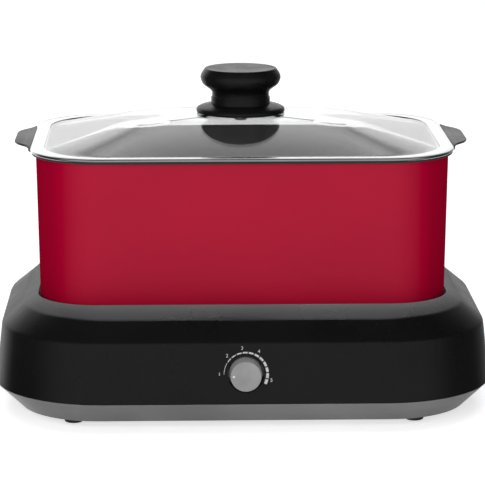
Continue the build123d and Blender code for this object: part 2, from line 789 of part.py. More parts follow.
def dome_levels(drop):
    """The dome's level outlines from its edge to its crown, lowered by drop."""
    edge = lid_overhang - rim_band
    steps = []
    for share, rise in ((0, 0), (glass_mid_share, glass_mid_rise), (1, 1)):
        run = glass_slope_run * share
        corner = max(glass_corner - run * glass_corner_loss, glass_crown_half)
        steps.append(mouth_outline(edge - run, glass_edge_top + glass_slope_rise * rise - drop, corner))
    half, corner = glass_crown_half, glass_crown_half * glass_crown_round
    steps.append(outline(half, half, half, corner, corner, glass_top - drop))
    return steps


def make_lid_glass():
    edge_out = -vessel_wall - rim_mouth_gap - rim_sheet
    edge = prism(mouth_outline(edge_out, glass_edge_bottom), glass_thickness)
    glass = edge + loft_through(mouth_outline(lid_overhang - rim_band, glass_edge_bottom,
                                              glass_corner), *dome_levels(0))
    glass -= loft_through(*dome_levels(glass_thickness))
    glass -= post(0, 0, glass_edge_bottom, glass_hole, glass_rise * 3)
    keep("lid_glass", glass)


def make_knob():
    base_bottom = glass_top + gasket_thickness - knob_base_hollow
    base_top = base_bottom + knob_base_crown
    rim_r, inner = knob_base_radius, knob_base_radius - knob_base_wall
    bore = lid_screw_radius + lid_screw_gap
    profile = Polyline((bore, base_bottom + knob_base_hollow),
                       (inner, base_bottom + knob_base_hollow), (inner, base_bottom),
                       (rim_r, base_bottom), (rim_r, base_bottom + knob_base_edge),
                       (neck_radius, base_top), (bore, base_top), close=True)
    base = turned(profile)
    edges = [e for e in base.edges().filter_by(GeomType.CIRCLE) if abs(e.radius - rim_r) < 0.01]
    keep("knob_base", fillet(edges, knob_base_round))

    top = base_top + head_height
    neck_top, waist_top = base_top + neck_height, base_top + waist_height
    flare = (waist_radius + flare_reach, base_top + flare_height)
    flare_middle = (waist_radius + flare_reach * 0.3, base_top + (waist_height * 0.35 + flare_height * 0.65))
    belly = (head_radius - belly_inset, base_top + belly_height)
    widest = (head_radius, base_top + widest_height)
    brow = (head_radius - brow_inset, base_top + brow_height)
    brow_middle = (head_radius - brow_inset / 4, base_top + (widest_height + brow_height) / 2)
    bore_top = base_top + knob_bore_depth
    shape = (
        Line((knob_bore, base_top), (neck_radius, base_top))
        + Line((neck_radius, base_top), (neck_radius, neck_top))
        + Line((neck_radius, neck_top), (waist_radius, neck_top + neck_step))
        + Line((waist_radius, neck_top + neck_step), (waist_radius, waist_top))
        + ThreePointArc((waist_radius, waist_top), flare_middle, flare)
        + ThreePointArc(flare, belly, widest)
        + ThreePointArc(widest, brow_middle, brow)
        + Line(brow, (head_face_radius, top))
        + TangentArc((0, top - dish_depth), (head_face_radius, top), tangent=(1, 0))
        + Line((0, top - dish_depth), (0, bore_top))
        + Line((0, bore_top), (knob_bore, bore_top))
        + Line((knob_bore, bore_top), (knob_bore, base_top))
    )
    keep("lid_knob", turned(shape))

    washer_top = glass_top - glass_thickness
    gasket = post(0, 0, glass_top, gasket_radius, gasket_thickness)
    gasket -= post(0, 0, glass_top - 1, bore, gasket_thickness + 2)
    keep("knob_gasket", gasket)
    washer = post(0, 0, washer_top - washer_thickness, washer_radius, washer_thickness)
    washer -= post(0, 0, washer_top - washer_thickness * 2, bore, washer_thickness * 3)
    keep("knob_washer", washer)
    seat = washer_top - washer_thickness
    length = base_top - seat + knob_bore_depth * lid_screw_bite
    keep("knob_screw", pan_screw(0, 0, seat, lid_screw_radius, length,
                                 lid_screw_head_radius, lid_screw_head_height))


# ---------------------------------------------------------------- build
make_base_shell()
make_base_tray()
make_feet()
make_tray_screws()
make_heating_plate()
element_tags = make_element()
under_shield = make_heat_shield()
behind_thermostat = make_thermostat()
make_dial()
make_gland()
make_wiring(element_tags, under_shield, behind_thermostat)
make_vessel()
make_lid_rim()
make_lid_glass()
make_knob()

os.makedirs("parts", exist_ok=True)
for name, shape in nodes.items():
    export_step(shape, f"parts/{name}.step")
    box = shape.bounding_box()
    print(f"{name:20s} {len(shape.solids())} solid(s)  volume {shape.volume:10.0f}  "
          f"Y {box.min.Y:7.1f} {box.max.Y:7.1f}  Z {box.min.Z:6.1f} {box.max.Z:6.1f}")
print("vessel centre Y", round(-footprint_middle, 3))
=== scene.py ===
# %% [markdown]
# # A slow cooker, piece by piece
#
# This lesson dresses a finished engineering model in Blender. The model arrives as a fixed frame:
# every CAD piece already has its place and its size, in metres, with +Z up and the control dial
# towards -Y. The frame is loaded first. Nothing that is modelled later may reach outside it.

# %% Load the frame
import json
import math
import bmesh
import bpy
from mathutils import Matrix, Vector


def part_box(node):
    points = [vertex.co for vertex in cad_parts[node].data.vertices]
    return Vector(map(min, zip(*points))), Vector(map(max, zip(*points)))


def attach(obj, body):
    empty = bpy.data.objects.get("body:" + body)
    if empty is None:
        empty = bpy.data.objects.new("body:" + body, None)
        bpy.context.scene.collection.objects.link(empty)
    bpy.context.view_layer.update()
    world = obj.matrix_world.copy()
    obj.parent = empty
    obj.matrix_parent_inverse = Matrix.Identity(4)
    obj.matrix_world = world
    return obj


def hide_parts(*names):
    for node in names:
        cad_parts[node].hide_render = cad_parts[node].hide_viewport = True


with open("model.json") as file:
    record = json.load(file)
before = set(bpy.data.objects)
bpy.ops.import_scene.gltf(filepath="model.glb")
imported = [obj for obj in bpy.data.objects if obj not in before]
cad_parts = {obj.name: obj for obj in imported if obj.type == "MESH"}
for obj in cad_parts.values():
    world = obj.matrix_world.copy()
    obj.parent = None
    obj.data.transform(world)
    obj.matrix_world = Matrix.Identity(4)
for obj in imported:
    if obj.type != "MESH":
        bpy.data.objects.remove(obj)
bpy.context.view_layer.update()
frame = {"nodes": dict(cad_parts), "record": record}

MM = 0.001
nodes = frame["nodes"]
vessel_low, vessel_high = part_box("vessel")
centre_y = (vessel_low.y + vessel_high.y) / 2
print("pieces in the frame:", len(nodes))
print("the vessel's axis is at Y =", round(centre_y, 5))

# %% [markdown]
# ## The camera
#
# A long lens far away keeps upright edges nearly upright, as in a catalogue. The camera
# could be placed by hand in the viewport, but here it is worked out from four plain facts: what
# it aims at, how far away it stands, and how much it is tilted and turned.

# %% Camera
VIEW_TILT = 12.07          # degrees that the camera looks down
VIEW_TURN = 1.51           # degrees that it looks towards +X
VIEW_DISTANCE = 1.7558
VIEW_LENS = 181.0          # millimetres, on a sensor 36 mm wide
VIEW_AIM = (0.0014, 0.0019, 0.1028)

tilt, turn = math.radians(VIEW_TILT), math.radians(VIEW_TURN)
look = (math.sin(turn) * math.cos(tilt), math.cos(turn) * math.cos(tilt), -math.sin(tilt))
camera_data = bpy.data.cameras.new("studio_camera")
camera_data.lens = VIEW_LENS
camera_data.sensor_width = 36.0
camera_data.clip_end = 100.0
camera = bpy.data.objects.new("studio_camera", camera_data)
camera.location = [aim - VIEW_DISTANCE * way for aim, way in zip(VIEW_AIM, look)]
camera.rotation_euler = (math.pi / 2 - tilt, 0, -turn)
bpy.context.scene.collection.objects.link(camera)
bpy.context.scene.camera = camera
print("camera at", [round(value, 4) for value in camera.location])

# %% [markdown]
# ## Small helpers for shader nodes
#
# A material is a graph of nodes, and small helpers keep the graphs short to read. The first gives
# an input a plain value or a link, and the second adds a node with its inputs filled in. Three
# more do arithmetic, stretch a range and mix two colours. The last one starts a node group, which
# is an effect that several materials share.

# %% Node helpers
def put(tree, target, value):
    """Gives an input a plain value, or links an output to it."""
    if isinstance(value, bpy.types.NodeSocket):
        tree.links.new(value, target)
    else:
        target.default_value = value


def node(tree, kind, inputs=None, **settings):
    """Adds a node, with its settings and its inputs."""
    made = tree.nodes.new(kind)
    for key, value in settings.items():
        setattr(made, key, value)
    for key, value in (inputs or {}).items():
        put(tree, made.inputs[key], value)
    return made


def sums(tree, operation, first, second=0.0, clamp=False):
    """One step of arithmetic on two values."""
    inputs = {0: first, 1: second}
    return node(tree, "ShaderNodeMath", inputs, operation=operation, use_clamp=clamp).outputs[0]


def remap(tree, value, low, high, to_low=0.0, to_high=1.0):
    """Stretches the range low..high to another range, and cuts off what is outside."""
    inputs = {"Value": value, "From Min": low, "From Max": high,
              "To Min": to_low, "To Max": to_high}
    return node(tree, "ShaderNodeMapRange", inputs).outputs["Result"]


def blend_colour(tree, share, first, second):
    """Mixes two colours by a share from 0 to 1; sockets 6 and 7 are the node's colour inputs."""
    mix = node(tree, "ShaderNodeMix", data_type="RGBA")
    put(tree, mix.inputs[0], share)
    put(tree, mix.inputs[6], first)
    put(tree, mix.inputs[7], second)
    return mix.outputs[2]


def shared_effect(name, inputs, outputs):
    """An empty node group with its sockets."""
    tree = bpy.data.node_groups.new(name, "ShaderNodeTree")
    for label, kind, value in inputs:
        made = tree.interface.new_socket(label, in_out="INPUT", socket_type="NodeSocket" + kind)
        if value is not None:
            made.default_value = value
    for label in outputs:
        tree.interface.new_socket(label, in_out="OUTPUT", socket_type="NodeSocketFloat")
    return tree, tree.nodes.new("NodeGroupInput").outputs, tree.nodes.new("NodeGroupOutput").inputs


# %% [markdown]
# ## Shared effect: grain
#
# Moulded plastic, rubber and paint are never quite smooth. Fine noise gives the tooth of the
# surface, for the bump, and a slow noise gives patches that are a little glossier or duller.

# %% Grain group
grain_tree, given, result = shared_effect(
    "surface grain",
    [("Vector", "Vector", None), ("Fine", "Float", 1500.0), ("Patch", "Float", 18.0)],
    ["Height", "Patches"])
fine = node(grain_tree, "ShaderNodeTexNoise",
            {"Vector": given["Vector"], "Scale": given["Fine"], "Detail": 3.0, "Roughness": 0.6})
slow = node(grain_tree, "ShaderNodeTexNoise",
            {"Vector": given["Vector"], "Scale": given["Patch"], "Detail": 5.0, "Roughness": 0.55})
put(grain_tree, result["Height"], fine.outputs["Fac"])
put(grain_tree, result["Patches"], remap(grain_tree, slow.outputs["Fac"], 0.35, 0.65))
print("group:", grain_tree.name)

# %% [markdown]
# ## Shared effect: worn edges
#
# Edges are handled more than flats, so they are polished or rubbed. The Bevel node gives the
# normal that the surface would have with its edges rounded. Where that differs from the true
# normal there is an edge, and a noise breaks the line up so that the wear is uneven.

# %% Edge group
edge_tree, given, result = shared_effect(
    "worn edges",
    [("Vector", "Vector", None), ("Width", "Float", 0.0008), ("Patch", "Float", 120.0)],
    ["Mask"])
rounded = node(edge_tree, "ShaderNodeBevel", {"Radius": given["Width"]}, samples=4)
true_normal = node(edge_tree, "ShaderNodeNewGeometry").outputs["Normal"]
alike = node(edge_tree, "ShaderNodeVectorMath", {0: rounded.outputs[0], 1: true_normal},
             operation="DOT_PRODUCT").outputs["Value"]
edge = remap(edge_tree, alike, 0.98, 0.80)
broken = node(edge_tree, "ShaderNodeTexNoise",
              {"Vector": given["Vector"], "Scale": given["Patch"], "Detail": 4.0})
uneven = remap(edge_tree, broken.outputs["Fac"], 0.38, 0.62, 0.25, 1.0)
put(edge_tree, result["Mask"], sums(edge_tree, "MULTIPLY", edge, uneven, clamp=True))
print("group:", edge_tree.name)

# %% [markdown]
# ## Shared effect: brushed lines
#
# Rolled or polished sheet metal keeps faint lines in one direction. Stretching the coordinates
# before a noise draws them: large steps along the lines and small steps across.

# %% Brushed group
brushed_tree, given, result = shared_effect(
    "brushed lines",
    [("Vector", "Vector", None), ("Stretch", "Vector", (12.0, 12.0, 900.0))],
    ["Height", "Streaks"])
stretched = node(brushed_tree, "ShaderNodeVectorMath",
                 {0: given["Vector"], 1: given["Stretch"]}, operation="MULTIPLY").outputs[0]
lines = node(brushed_tree, "ShaderNodeTexNoise", {"Vector": stretched, "Scale": 1.0, "Detail": 6.0})
put(brushed_tree, result["Height"], lines.outputs["Fac"])
put(brushed_tree, result["Streaks"], remap(brushed_tree, lines.outputs["Fac"], 0.3, 0.7))
print("group:", brushed_tree.name)

# %% [markdown]
# ## Shared effect: flecks
#
# A non-stick coat holds tiny mineral flecks. Each cell of a Voronoi texture gets a fleck at its
# point, and the cell's own random colour decides whether that fleck shows.

# %% Fleck group
fleck_tree, given, result = shared_effect(
    "coat flecks",
    [("Vector", "Vector", None), ("Scale", "Float", 900.0), ("Share", "Float", 0.3)],
    ["Mask"])
cells = node(fleck_tree, "ShaderNodeTexVoronoi",
             {"Vector": given["Vector"], "Scale": given["Scale"]})
spot = remap(fleck_tree, cells.outputs["Distance"], 0.32, 0.18)
chance = node(fleck_tree, "ShaderNodeSeparateColor", {"Color": cells.outputs["Color"]}).outputs[0]
shown = sums(fleck_tree, "LESS_THAN", chance, given["Share"])
put(fleck_tree, result["Mask"], sums(fleck_tree, "MULTIPLY", spot, shown))
print("group:", fleck_tree.name)

# %% [markdown]
# ## Materials
#
# One function makes all the moulded and painted finishes, because they differ only in their
# numbers, and another makes the metals. The enamel, the non-stick coat and the glass have one
# each. Every function starts the same way, with the object's own coordinates, so that a pattern
# keeps its size on every piece and stays put when a piece moves.

# %% Moulded and painted finishes
finishes = {}


def new_finish(name):
    """A new material, filed under its name, with its shader and the object's coordinates."""
    made = bpy.data.materials.new(name)
    made.use_nodes = True
    finishes[name] = made
    tree = made.node_tree
    coordinates = node(tree, "ShaderNodeTexCoord").outputs["Object"]
    return made, tree, tree.nodes["Principled BSDF"].inputs, coordinates


def effect(tree, group, inputs):
    """Places a shared effect in a material."""
    return node(tree, "ShaderNodeGroup", inputs, node_tree=group).outputs


def raise_by(tree, height, distance, normal=None):
    """A bump of so many metres."""
    inputs = {"Height": height, "Distance": distance, "Strength": 1.0}
    if normal is not None:
        inputs["Normal"] = normal
    return node(tree, "ShaderNodeBump", inputs).outputs["Normal"]


def edge_wear(tree, place, width, amount):
    """A mask of the worn edges, from 0 to the given amount."""
    mask = effect(tree, edge_tree, {"Vector": place, "Width": width})["Mask"]
    return sums(tree, "MULTIPLY", mask, amount)


def varied(tree, mask, middle, spread):
    """A value that a mask moves by so much to either side of the middle."""
    return remap(tree, mask, 0.0, 1.0, middle - spread, middle + spread)


def turned_away(tree):
    """0 where a surface faces the eye, rising to 1 at its outline."""
    return node(tree, "ShaderNodeLayerWeight", {"Blend": 0.5}).outputs["Facing"]


def shade(colour, factor):
    """A colour made darker or lighter, with its alpha added."""
    return tuple(min(value * factor, 1.0) for value in colour) + (1.0,)


def moulded(name, colour, roughness, fine=1500.0, tooth=0.00003, patch=18.0, spread=0.05,
            edge_colour=None, wear=0.3, edge_width=0.0008, specular=0.5, coat=0.0, grazing=1.0):
    """Plastic, rubber, ceramic or printing ink; grazing dulls the shine towards the outline."""
    made, tree, shader, place = new_finish(name)
    grain = effect(tree, grain_tree, {"Vector": place, "Fine": fine, "Patch": patch})
    worn = edge_wear(tree, place, edge_width, wear)
    body = blend_colour(tree, grain["Patches"], shade(colour, 0.88), shade(colour, 1.1))
    edge_tone = shade(edge_colour, 1.0) if edge_colour else shade(colour, 2.2)
    put(tree, shader["Base Color"], blend_colour(tree, worn, body, edge_tone))
    gloss = varied(tree, grain["Patches"], roughness, spread)
    put(tree, shader["Roughness"], sums(tree, "SUBTRACT", gloss, sums(tree, "MULTIPLY", worn, 0.2)))
    put(tree, shader["Normal"], raise_by(tree, grain["Height"], tooth))
    if grazing < 1.0:
        dulled = remap(tree, turned_away(tree), 0.4, 0.85, specular, specular * grazing)
        put(tree, shader["Specular IOR Level"], dulled)
    else:
        shader["Specular IOR Level"].default_value = specular
    shader["Coat Weight"].default_value = coat
    return made


shell_black = moulded("shell_black", (0.005, 0.005, 0.0053), 0.28, fine=1400.0, tooth=0.000035,
                      edge_colour=(0.03, 0.03, 0.031), wear=0.3, specular=0.34, spread=0.03,
                      grazing=0.06)
tray_grey = moulded("tray_grey", (0.146, 0.146, 0.148), 0.42, fine=1300.0, tooth=0.00004,
                    edge_colour=(0.30, 0.30, 0.30), wear=0.35)
foot_rubber = moulded("foot_rubber", (0.018, 0.018, 0.019), 0.62, fine=900.0, tooth=0.00006,
                      edge_colour=(0.06, 0.06, 0.06), spread=0.08)
knob_black = moulded("knob_black", (0.0055, 0.0055, 0.0058), 0.30, fine=1800.0, tooth=0.00002,
                     patch=45.0, edge_colour=(0.05, 0.05, 0.05), wear=0.3, specular=0.42,
                     grazing=0.15)
dial_grey = moulded("dial_grey", (0.235, 0.235, 0.237), 0.40, fine=1800.0, tooth=0.00002,
                    patch=70.0, edge_colour=(0.42, 0.42, 0.42), wear=0.3, edge_width=0.0004)
pointer_white = moulded("pointer_white", (0.62, 0.62, 0.62), 0.45, edge_width=0.0002)
print_grey = moulded("print_grey", (0.46, 0.46, 0.46), 0.55, fine=4000.0, tooth=0.00001,
                     patch=400.0, wear=0.1, edge_width=0.0001)
gland_black = moulded("gland_black", (0.014, 0.014, 0.014), 0.45, edge_colour=(0.06, 0.06, 0.06))
silicone = moulded("silicone", (0.03, 0.03, 0.03), 0.5, fine=800.0)
block_nylon = moulded("block_nylon", (0.62, 0.60, 0.54), 0.38, fine=900.0, specular=0.45)
ceramic = moulded("ceramic", (0.70, 0.66, 0.56), 0.22, fine=500.0, tooth=0.00004, coat=0.4)
fuse_case = moulded("fuse_case", (0.45, 0.42, 0.38), 0.30, patch=200.0)
wire_brown = moulded("wire_brown", (0.09, 0.028, 0.010), 0.48, patch=90.0, wear=0.0)
wire_blue = moulded("wire_blue", (0.012, 0.045, 0.32), 0.48, patch=90.0, wear=0.0)
wire_green = moulded("wire_green", (0.035, 0.26, 0.02), 0.48, patch=90.0, wear=0.0)
print("moulded finishes made")

# %% [markdown]
# ## Metals
#
# A metal has no colour of its own below its shine, so Metallic is 1 and the work is done by the
# roughness and by fine lines. The rim of the lid is polished, fasteners are zinc plated, and the
# heating plate is cast, so it gets coarse grain instead of lines.

# %% Metal finishes
def metal(name, colour, roughness, stretch=(12.0, 12.0, 900.0), line_depth=0.000004, spread=0.06,
          wear=0.4, edge_width=0.0005, pits=None):
    """A bare or plated metal with lines, and with cast pits if a scale is given for them."""
    made, tree, shader, place = new_finish(name)
    brushed = effect(tree, brushed_tree, {"Vector": place, "Stretch": stretch})
    grain = effect(tree, grain_tree, {"Vector": place, "Fine": pits or 1200.0, "Patch": 30.0})
    worn = edge_wear(tree, place, edge_width, wear)
    body = blend_colour(tree, grain["Patches"], shade(colour, 0.92), shade(colour, 1.04))
    put(tree, shader["Base Color"], blend_colour(tree, worn, body, shade(colour, 1.35)))
    gloss = varied(tree, brushed["Streaks"], roughness, spread)
    put(tree, shader["Roughness"], sums(tree, "SUBTRACT", gloss, sums(tree, "MULTIPLY", worn, 0.1)))
    tooth = raise_by(tree, brushed["Height"], line_depth)
    if pits:
        tooth = raise_by(tree, grain["Height"], 0.00005, tooth)
    put(tree, shader["Normal"], tooth)
    shader["Metallic"].default_value = 1.0
    return made


rim_steel = metal("rim_steel", (0.78, 0.78, 0.79), 0.16, stretch=(500.0, 500.0, 60.0), spread=0.04)
zinc_steel = metal("zinc_steel", (0.58, 0.58, 0.60), 0.32, stretch=(300.0, 300.0, 300.0))
brass_fitting = metal("brass_fitting", (0.60, 0.42, 0.16), 0.30, stretch=(300.0, 300.0, 300.0))
nickel_pin = metal("nickel_pin", (0.58, 0.54, 0.48), 0.26, stretch=(40.0, 600.0, 600.0))
shield_sheet = metal("shield_sheet", (0.72, 0.72, 0.73), 0.28, stretch=(8.0, 700.0, 700.0))
heater_sheath = metal("heater_sheath", (0.22, 0.20, 0.19), 0.40, stretch=(200.0, 200.0, 200.0))
print("metal finishes made")

# %% [markdown]
# ## Enamel, non-stick coat and glass
#
# The vessel has two coats: satin red enamel outside, and a black non-stick coat inside and on the
# flange. The enamel could be a plain moulded finish, but sprayed enamel has orange peel, a slow
# ripple under its gloss, so it gets a second bump. A Layer Weight node makes it less shiny where it
# turns away, and darkens its red there too; that darker red is painted shade. The glass keeps a
# plain transmission: its roughness and a very slow ripple vary, and its outline is darker, where
# one looks along the sheet.

# %% Coats and glass
FLECK_GREY = (0.12, 0.12, 0.12, 1.0)
GLASS_CLEAR, GLASS_OUTLINE = (0.98, 0.985, 0.985, 1.0), (0.12, 0.13, 0.13, 1.0)


def enamel(name, colour, roughness, specular):
    """A sprayed enamel with orange peel, darkened towards its outline by painted shade."""
    made, tree, shader, place = new_finish(name)
    peel = effect(tree, grain_tree, {"Vector": place, "Fine": 420.0, "Patch": 14.0})
    dust = effect(tree, grain_tree, {"Vector": place, "Fine": 2600.0, "Patch": 60.0})
    worn = edge_wear(tree, place, 0.0006, 0.25)
    facing = turned_away(tree)
    body = blend_colour(tree, peel["Patches"], shade(colour, 0.97), shade(colour, 1.03))
    # Painted shade: a darker copy of the red is mixed in where the surface turns away from the eye.
    body = blend_colour(tree, remap(tree, facing, 0.06, 0.4), body, shade(colour, 0.7))
    put(tree, shader["Base Color"], blend_colour(tree, worn, body, shade(colour, 1.3)))
    put(tree, shader["Roughness"], varied(tree, dust["Patches"], roughness, 0.03))
    smooth = raise_by(tree, peel["Height"], 0.000012)
    put(tree, shader["Normal"], raise_by(tree, dust["Height"], 0.000004, smooth))
    put(tree, shader["Specular IOR Level"], remap(tree, facing, 0.05, 0.25, specular, 0.0))
    return made


def nonstick(name, colour, roughness):
    """A sprayed non-stick coat with mineral flecks."""
    made, tree, shader, place = new_finish(name)
    grain = effect(tree, grain_tree, {"Vector": place, "Fine": 1100.0, "Patch": 25.0})
    flecks = effect(tree, fleck_tree, {"Vector": place, "Scale": 420.0, "Share": 0.25})["Mask"]
    worn = edge_wear(tree, place, 0.0006, 0.3)
    faint = sums(tree, "MULTIPLY", flecks, 0.2)
    body = blend_colour(tree, faint, shade(colour, 1.0), FLECK_GREY)
    put(tree, shader["Base Color"], blend_colour(tree, worn, body, FLECK_GREY))
    put(tree, shader["Roughness"], varied(tree, grain["Patches"], roughness, 0.06))
    put(tree, shader["Normal"], raise_by(tree, grain["Height"], 0.00004))
    return made


def clear_glass(name):
    """Tempered glass with a trace of roller wave and wiping marks."""
    made, tree, shader, place = new_finish(name)
    waves = effect(tree, grain_tree, {"Vector": place, "Fine": 16.0, "Patch": 35.0})
    outline = remap(tree, turned_away(tree), 0.83, 0.93)
    put(tree, shader["Base Color"], blend_colour(tree, outline, GLASS_CLEAR, GLASS_OUTLINE))
    put(tree, shader["Roughness"], remap(tree, waves["Patches"], 0.0, 1.0, 0.0, 0.03))
    put(tree, shader["Normal"], raise_by(tree, waves["Height"], 0.00002))
    shader["Transmission Weight"].default_value = 1.0
    shader["IOR"].default_value = 1.5
    return made


vessel_red = enamel("vessel_red", (0.34, 0.0012, 0.022), 0.45, 0.18)
vessel_black = nonstick("vessel_black", (0.022, 0.022, 0.023), 0.42)
cast_plate = nonstick("cast_plate", (0.04, 0.04, 0.042), 0.5)
lid_glass = clear_glass("lid_glass")
print("coats and glass made")

# %% [markdown]
# ## Finishes for the CAD pieces
#
# Each CAD piece names its material slot in the record, so one loop dresses them all.

# %% Dress the CAD pieces
finishes["vessel_coat"] = vessel_black
for part in frame["record"]["subparts"]:
    piece = nodes[part["node"]]
    for slot in piece.material_slots:
        slot.material = finishes[part["material_slot"]]

# %% [markdown]
# ## Modelling helpers
#
# Most of this object is made of level outlines with rounded corners, stacked at different heights.
# They could be lofted from curves, but by hand it is quicker to start with a plane, round its
# corners, take its face away and extrude the loop that is left. After each extrusion the four
# corners are scaled about their own centres and moved, so that each level has its own radii.

# %% Selecting and editing
def select_nothing():
    """Closes the mesh that is open for editing, if there is one, and deselects everything."""
    if bpy.context.object and bpy.context.object.mode != "OBJECT":
        bpy.ops.object.mode_set(mode="OBJECT")
    bpy.ops.object.select_all(action="DESELECT")


def select_only(*pieces):
    """Selects these pieces alone and makes the first one active."""
    select_nothing()
    for piece in pieces:
        piece.select_set(True)
    bpy.context.view_layer.objects.active = pieces[0]


def into_edit(piece):
    """Selects one piece alone and opens its mesh for editing."""
    select_only(piece)
    bpy.ops.object.mode_set(mode="EDIT")


def choose(piece, kind, wanted):
    """Selects the vertices, edges or faces that pass a test, and says how many."""
    bpy.ops.mesh.select_mode(type=kind)
    bpy.ops.mesh.select_all(action="DESELECT")
    mesh = bmesh.from_edit_mesh(piece.data)
    items = {"VERT": mesh.verts, "EDGE": mesh.edges, "FACE": mesh.faces}[kind]
    items.index_update()
    mesh.verts.index_update()
    chosen = [item for item in items if wanted(item)]
    for item in chosen:
        item.select_set(True)
    bmesh.update_edit_mesh(piece.data)
    return len(chosen)


def selected_vertices(piece):
    """The numbers of the vertices that are selected."""
    mesh = bmesh.from_edit_mesh(piece.data)
    mesh.verts.index_update()
    return {vertex.index for vertex in mesh.verts if vertex.select}


def apply_modifier(piece, kind, **settings):
    """Adds one modifier and applies it."""
    bpy.ops.object.mode_set(mode="OBJECT")
    modifier = piece.modifiers.new(kind.lower(), kind)
    for key, value in settings.items():
        setattr(modifier, key, value)
    bpy.ops.object.modifier_apply(modifier=modifier.name)


def close_up(piece):
    """Merges doubles and turns all faces outwards."""
    into_edit(piece)
    bpy.ops.mesh.select_all(action="SELECT")
    bpy.ops.mesh.remove_doubles(threshold=0.00001)
    bpy.ops.mesh.normals_make_consistent(inside=False)
    bpy.ops.object.mode_set(mode="OBJECT")


def finish_piece(piece, body, replaced, slot, *materials, angle=35.0):
    """Shades a piece, gives it its materials and says which body it rides on."""
    select_only(piece)
    bpy.ops.object.shade_smooth_by_angle(angle=math.radians(angle))
    if not piece.data.materials:
        for material in materials:
            piece.data.materials.append(material)
    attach(piece, body)
    if replaced:
        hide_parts(*replaced)
    print(f"{piece.name}: {len(piece.data.polygons)} faces")


# %% Outlines with rounded corners
CORNER_STEPS = 10
NEAR = 0.00002             # metres; places closer together than this count as the same


def level(half_width, front, back, front_corner, back_corner, z):
    """A level outline, in millimetres from the vessel's axis."""
    return {"half": half_width, "front": front, "back": back, "z": z,
            "corners": {-1: front_corner, 1: back_corner}}


def even(half_width, half_depth, corner, z):
    """An outline that is the same in front and behind."""
    return level(half_width, half_depth, half_depth, corner, corner, z)


def corner_centre(line, side, way):
    """Where a corner's arc has its centre; side is -1 or 1 along X, way is -1 or 1 along Y."""
    radius = line["corners"][way]
    reach = line["back"] if way > 0 else line["front"]
    return (side * (line["half"] - radius) * MM, centre_y + way * (reach - radius) * MM)


def start_loop(name, line, steps=CORNER_STEPS):
    """Makes a new piece that is one loop of edges, and leaves that loop selected."""
    select_nothing()
    bpy.ops.mesh.primitive_plane_add(size=2.0, location=(0, 0, 0))
    piece = bpy.context.object
    piece.name = name
    bpy.ops.object.mode_set(mode="EDIT")
    half_depth = (line["front"] + line["back"]) / 2
    middle = centre_y + (line["back"] - line["front"]) / 2 * MM
    bpy.ops.transform.resize(value=(line["half"] * MM, half_depth * MM, 1),
                             center_override=(0, 0, 0))
    bpy.ops.transform.translate(value=(0, middle, line["z"] * MM))
    for way in (-1, 1):
        end = middle + way * (half_depth - 0.01) * MM
        choose(piece, "VERT", lambda vertex: (vertex.co.y - end) * way > 0)
        bpy.ops.mesh.bevel(offset=line["corners"][way] * MM, segments=steps, affect="VERTICES")
    bpy.ops.mesh.select_all(action="SELECT")
    bpy.ops.mesh.delete(type="ONLY_FACE")
    bpy.ops.object.mode_set(mode="OBJECT")
    bpy.ops.object.mode_set(mode="EDIT")
    choose(piece, "EDGE", lambda edge: True)
    return piece


def next_loop(piece, old, new):
    """Extrudes the selected loop and turns it from one outline into the next."""
    bpy.ops.mesh.extrude_region_move(
        TRANSFORM_OT_translate={"value": (0, 0, (new["z"] - old["z"]) * MM)})
    loop = selected_vertices(piece)
    for side in (-1, 1):
        for way in (-1, 1):
            x0, y0 = corner_centre(old, side, way)
            x1, y1 = corner_centre(new, side, way)
            middle = centre_y + (old["back"] - old["front"]) / 2 * MM
            choose(piece, "VERT", lambda vertex: vertex.index in loop and vertex.co.x * side > 0
                   and (vertex.co.y - middle) * way > 0)
            scale = new["corners"][way] / old["corners"][way]
            bpy.ops.transform.resize(value=(scale, scale, 1), center_override=(x0, y0, 0))
            bpy.ops.transform.translate(value=(x1 - x0, y1 - y0, 0))
    choose(piece, "EDGE", lambda edge: all(vertex.index in loop for vertex in edge.verts))
    return new


def stack(name, lines, steps=CORNER_STEPS):
    """A skin through a list of outlines, from the first to the last."""
    piece = start_loop(name, lines[0], steps)
    old = lines[0]
    for new in lines[1:]:
        old = next_loop(piece, old, new)
    return piece


def join_ends(piece):
    """Closes a skin into a ring, by a bridge from its last loop to its first."""
    choose(piece, "EDGE", lambda edge: edge.is_boundary)
    bpy.ops.mesh.bridge_edge_loops()


def cap_end(piece):
    """Puts a face on the one end that is still open."""
    choose(piece, "EDGE", lambda edge: edge.is_boundary)
    bpy.ops.mesh.edge_face_add()


TURNED_SIDES = 96


def turned(name, profile):
    """A turned piece, from (radius, height) points; the first ring is capped, the last is open."""
    select_nothing()
    radius, z = profile[0]
    bpy.ops.mesh.primitive_circle_add(vertices=TURNED_SIDES, radius=radius * MM, location=(0, 0, 0))
    piece = bpy.context.object
    piece.name = name
    bpy.ops.object.mode_set(mode="EDIT")
    choose(piece, "EDGE", lambda edge: True)
    bpy.ops.transform.translate(value=(0, centre_y, z * MM))
    bpy.ops.mesh.edge_face_add()
    bpy.ops.mesh.select_mode(type="EDGE")
    for new_radius, new_z in profile[1:]:
        bpy.ops.mesh.extrude_region_move(
            TRANSFORM_OT_translate={"value": (0, 0, (new_z - z) * MM)})
        bpy.ops.transform.resize(value=(new_radius / radius, new_radius / radius, 1),
                                 center_override=(0, centre_y, 0))
        radius, z = new_radius, new_z
    close_up(piece)
    return piece


def round_level(piece, z, radius, steps):
    """Rounds the edges that lie level at z."""
    into_edit(piece)
    count = choose(piece, "EDGE", lambda edge: all(
        abs(vertex.co.z - z * MM) < NEAR for vertex in edge.verts))
    bpy.ops.mesh.bevel(offset=radius * MM, segments=steps, affect="EDGES")
    bpy.ops.object.mode_set(mode="OBJECT")
    return count


# %% [markdown]
# ## The sizes that the skins are drawn from
#
# These are the object's own sizes in millimetres, measured from the vessel's axis and from the
# surface that the feet stand on. Heights that a CAD piece already has are read from the frame.

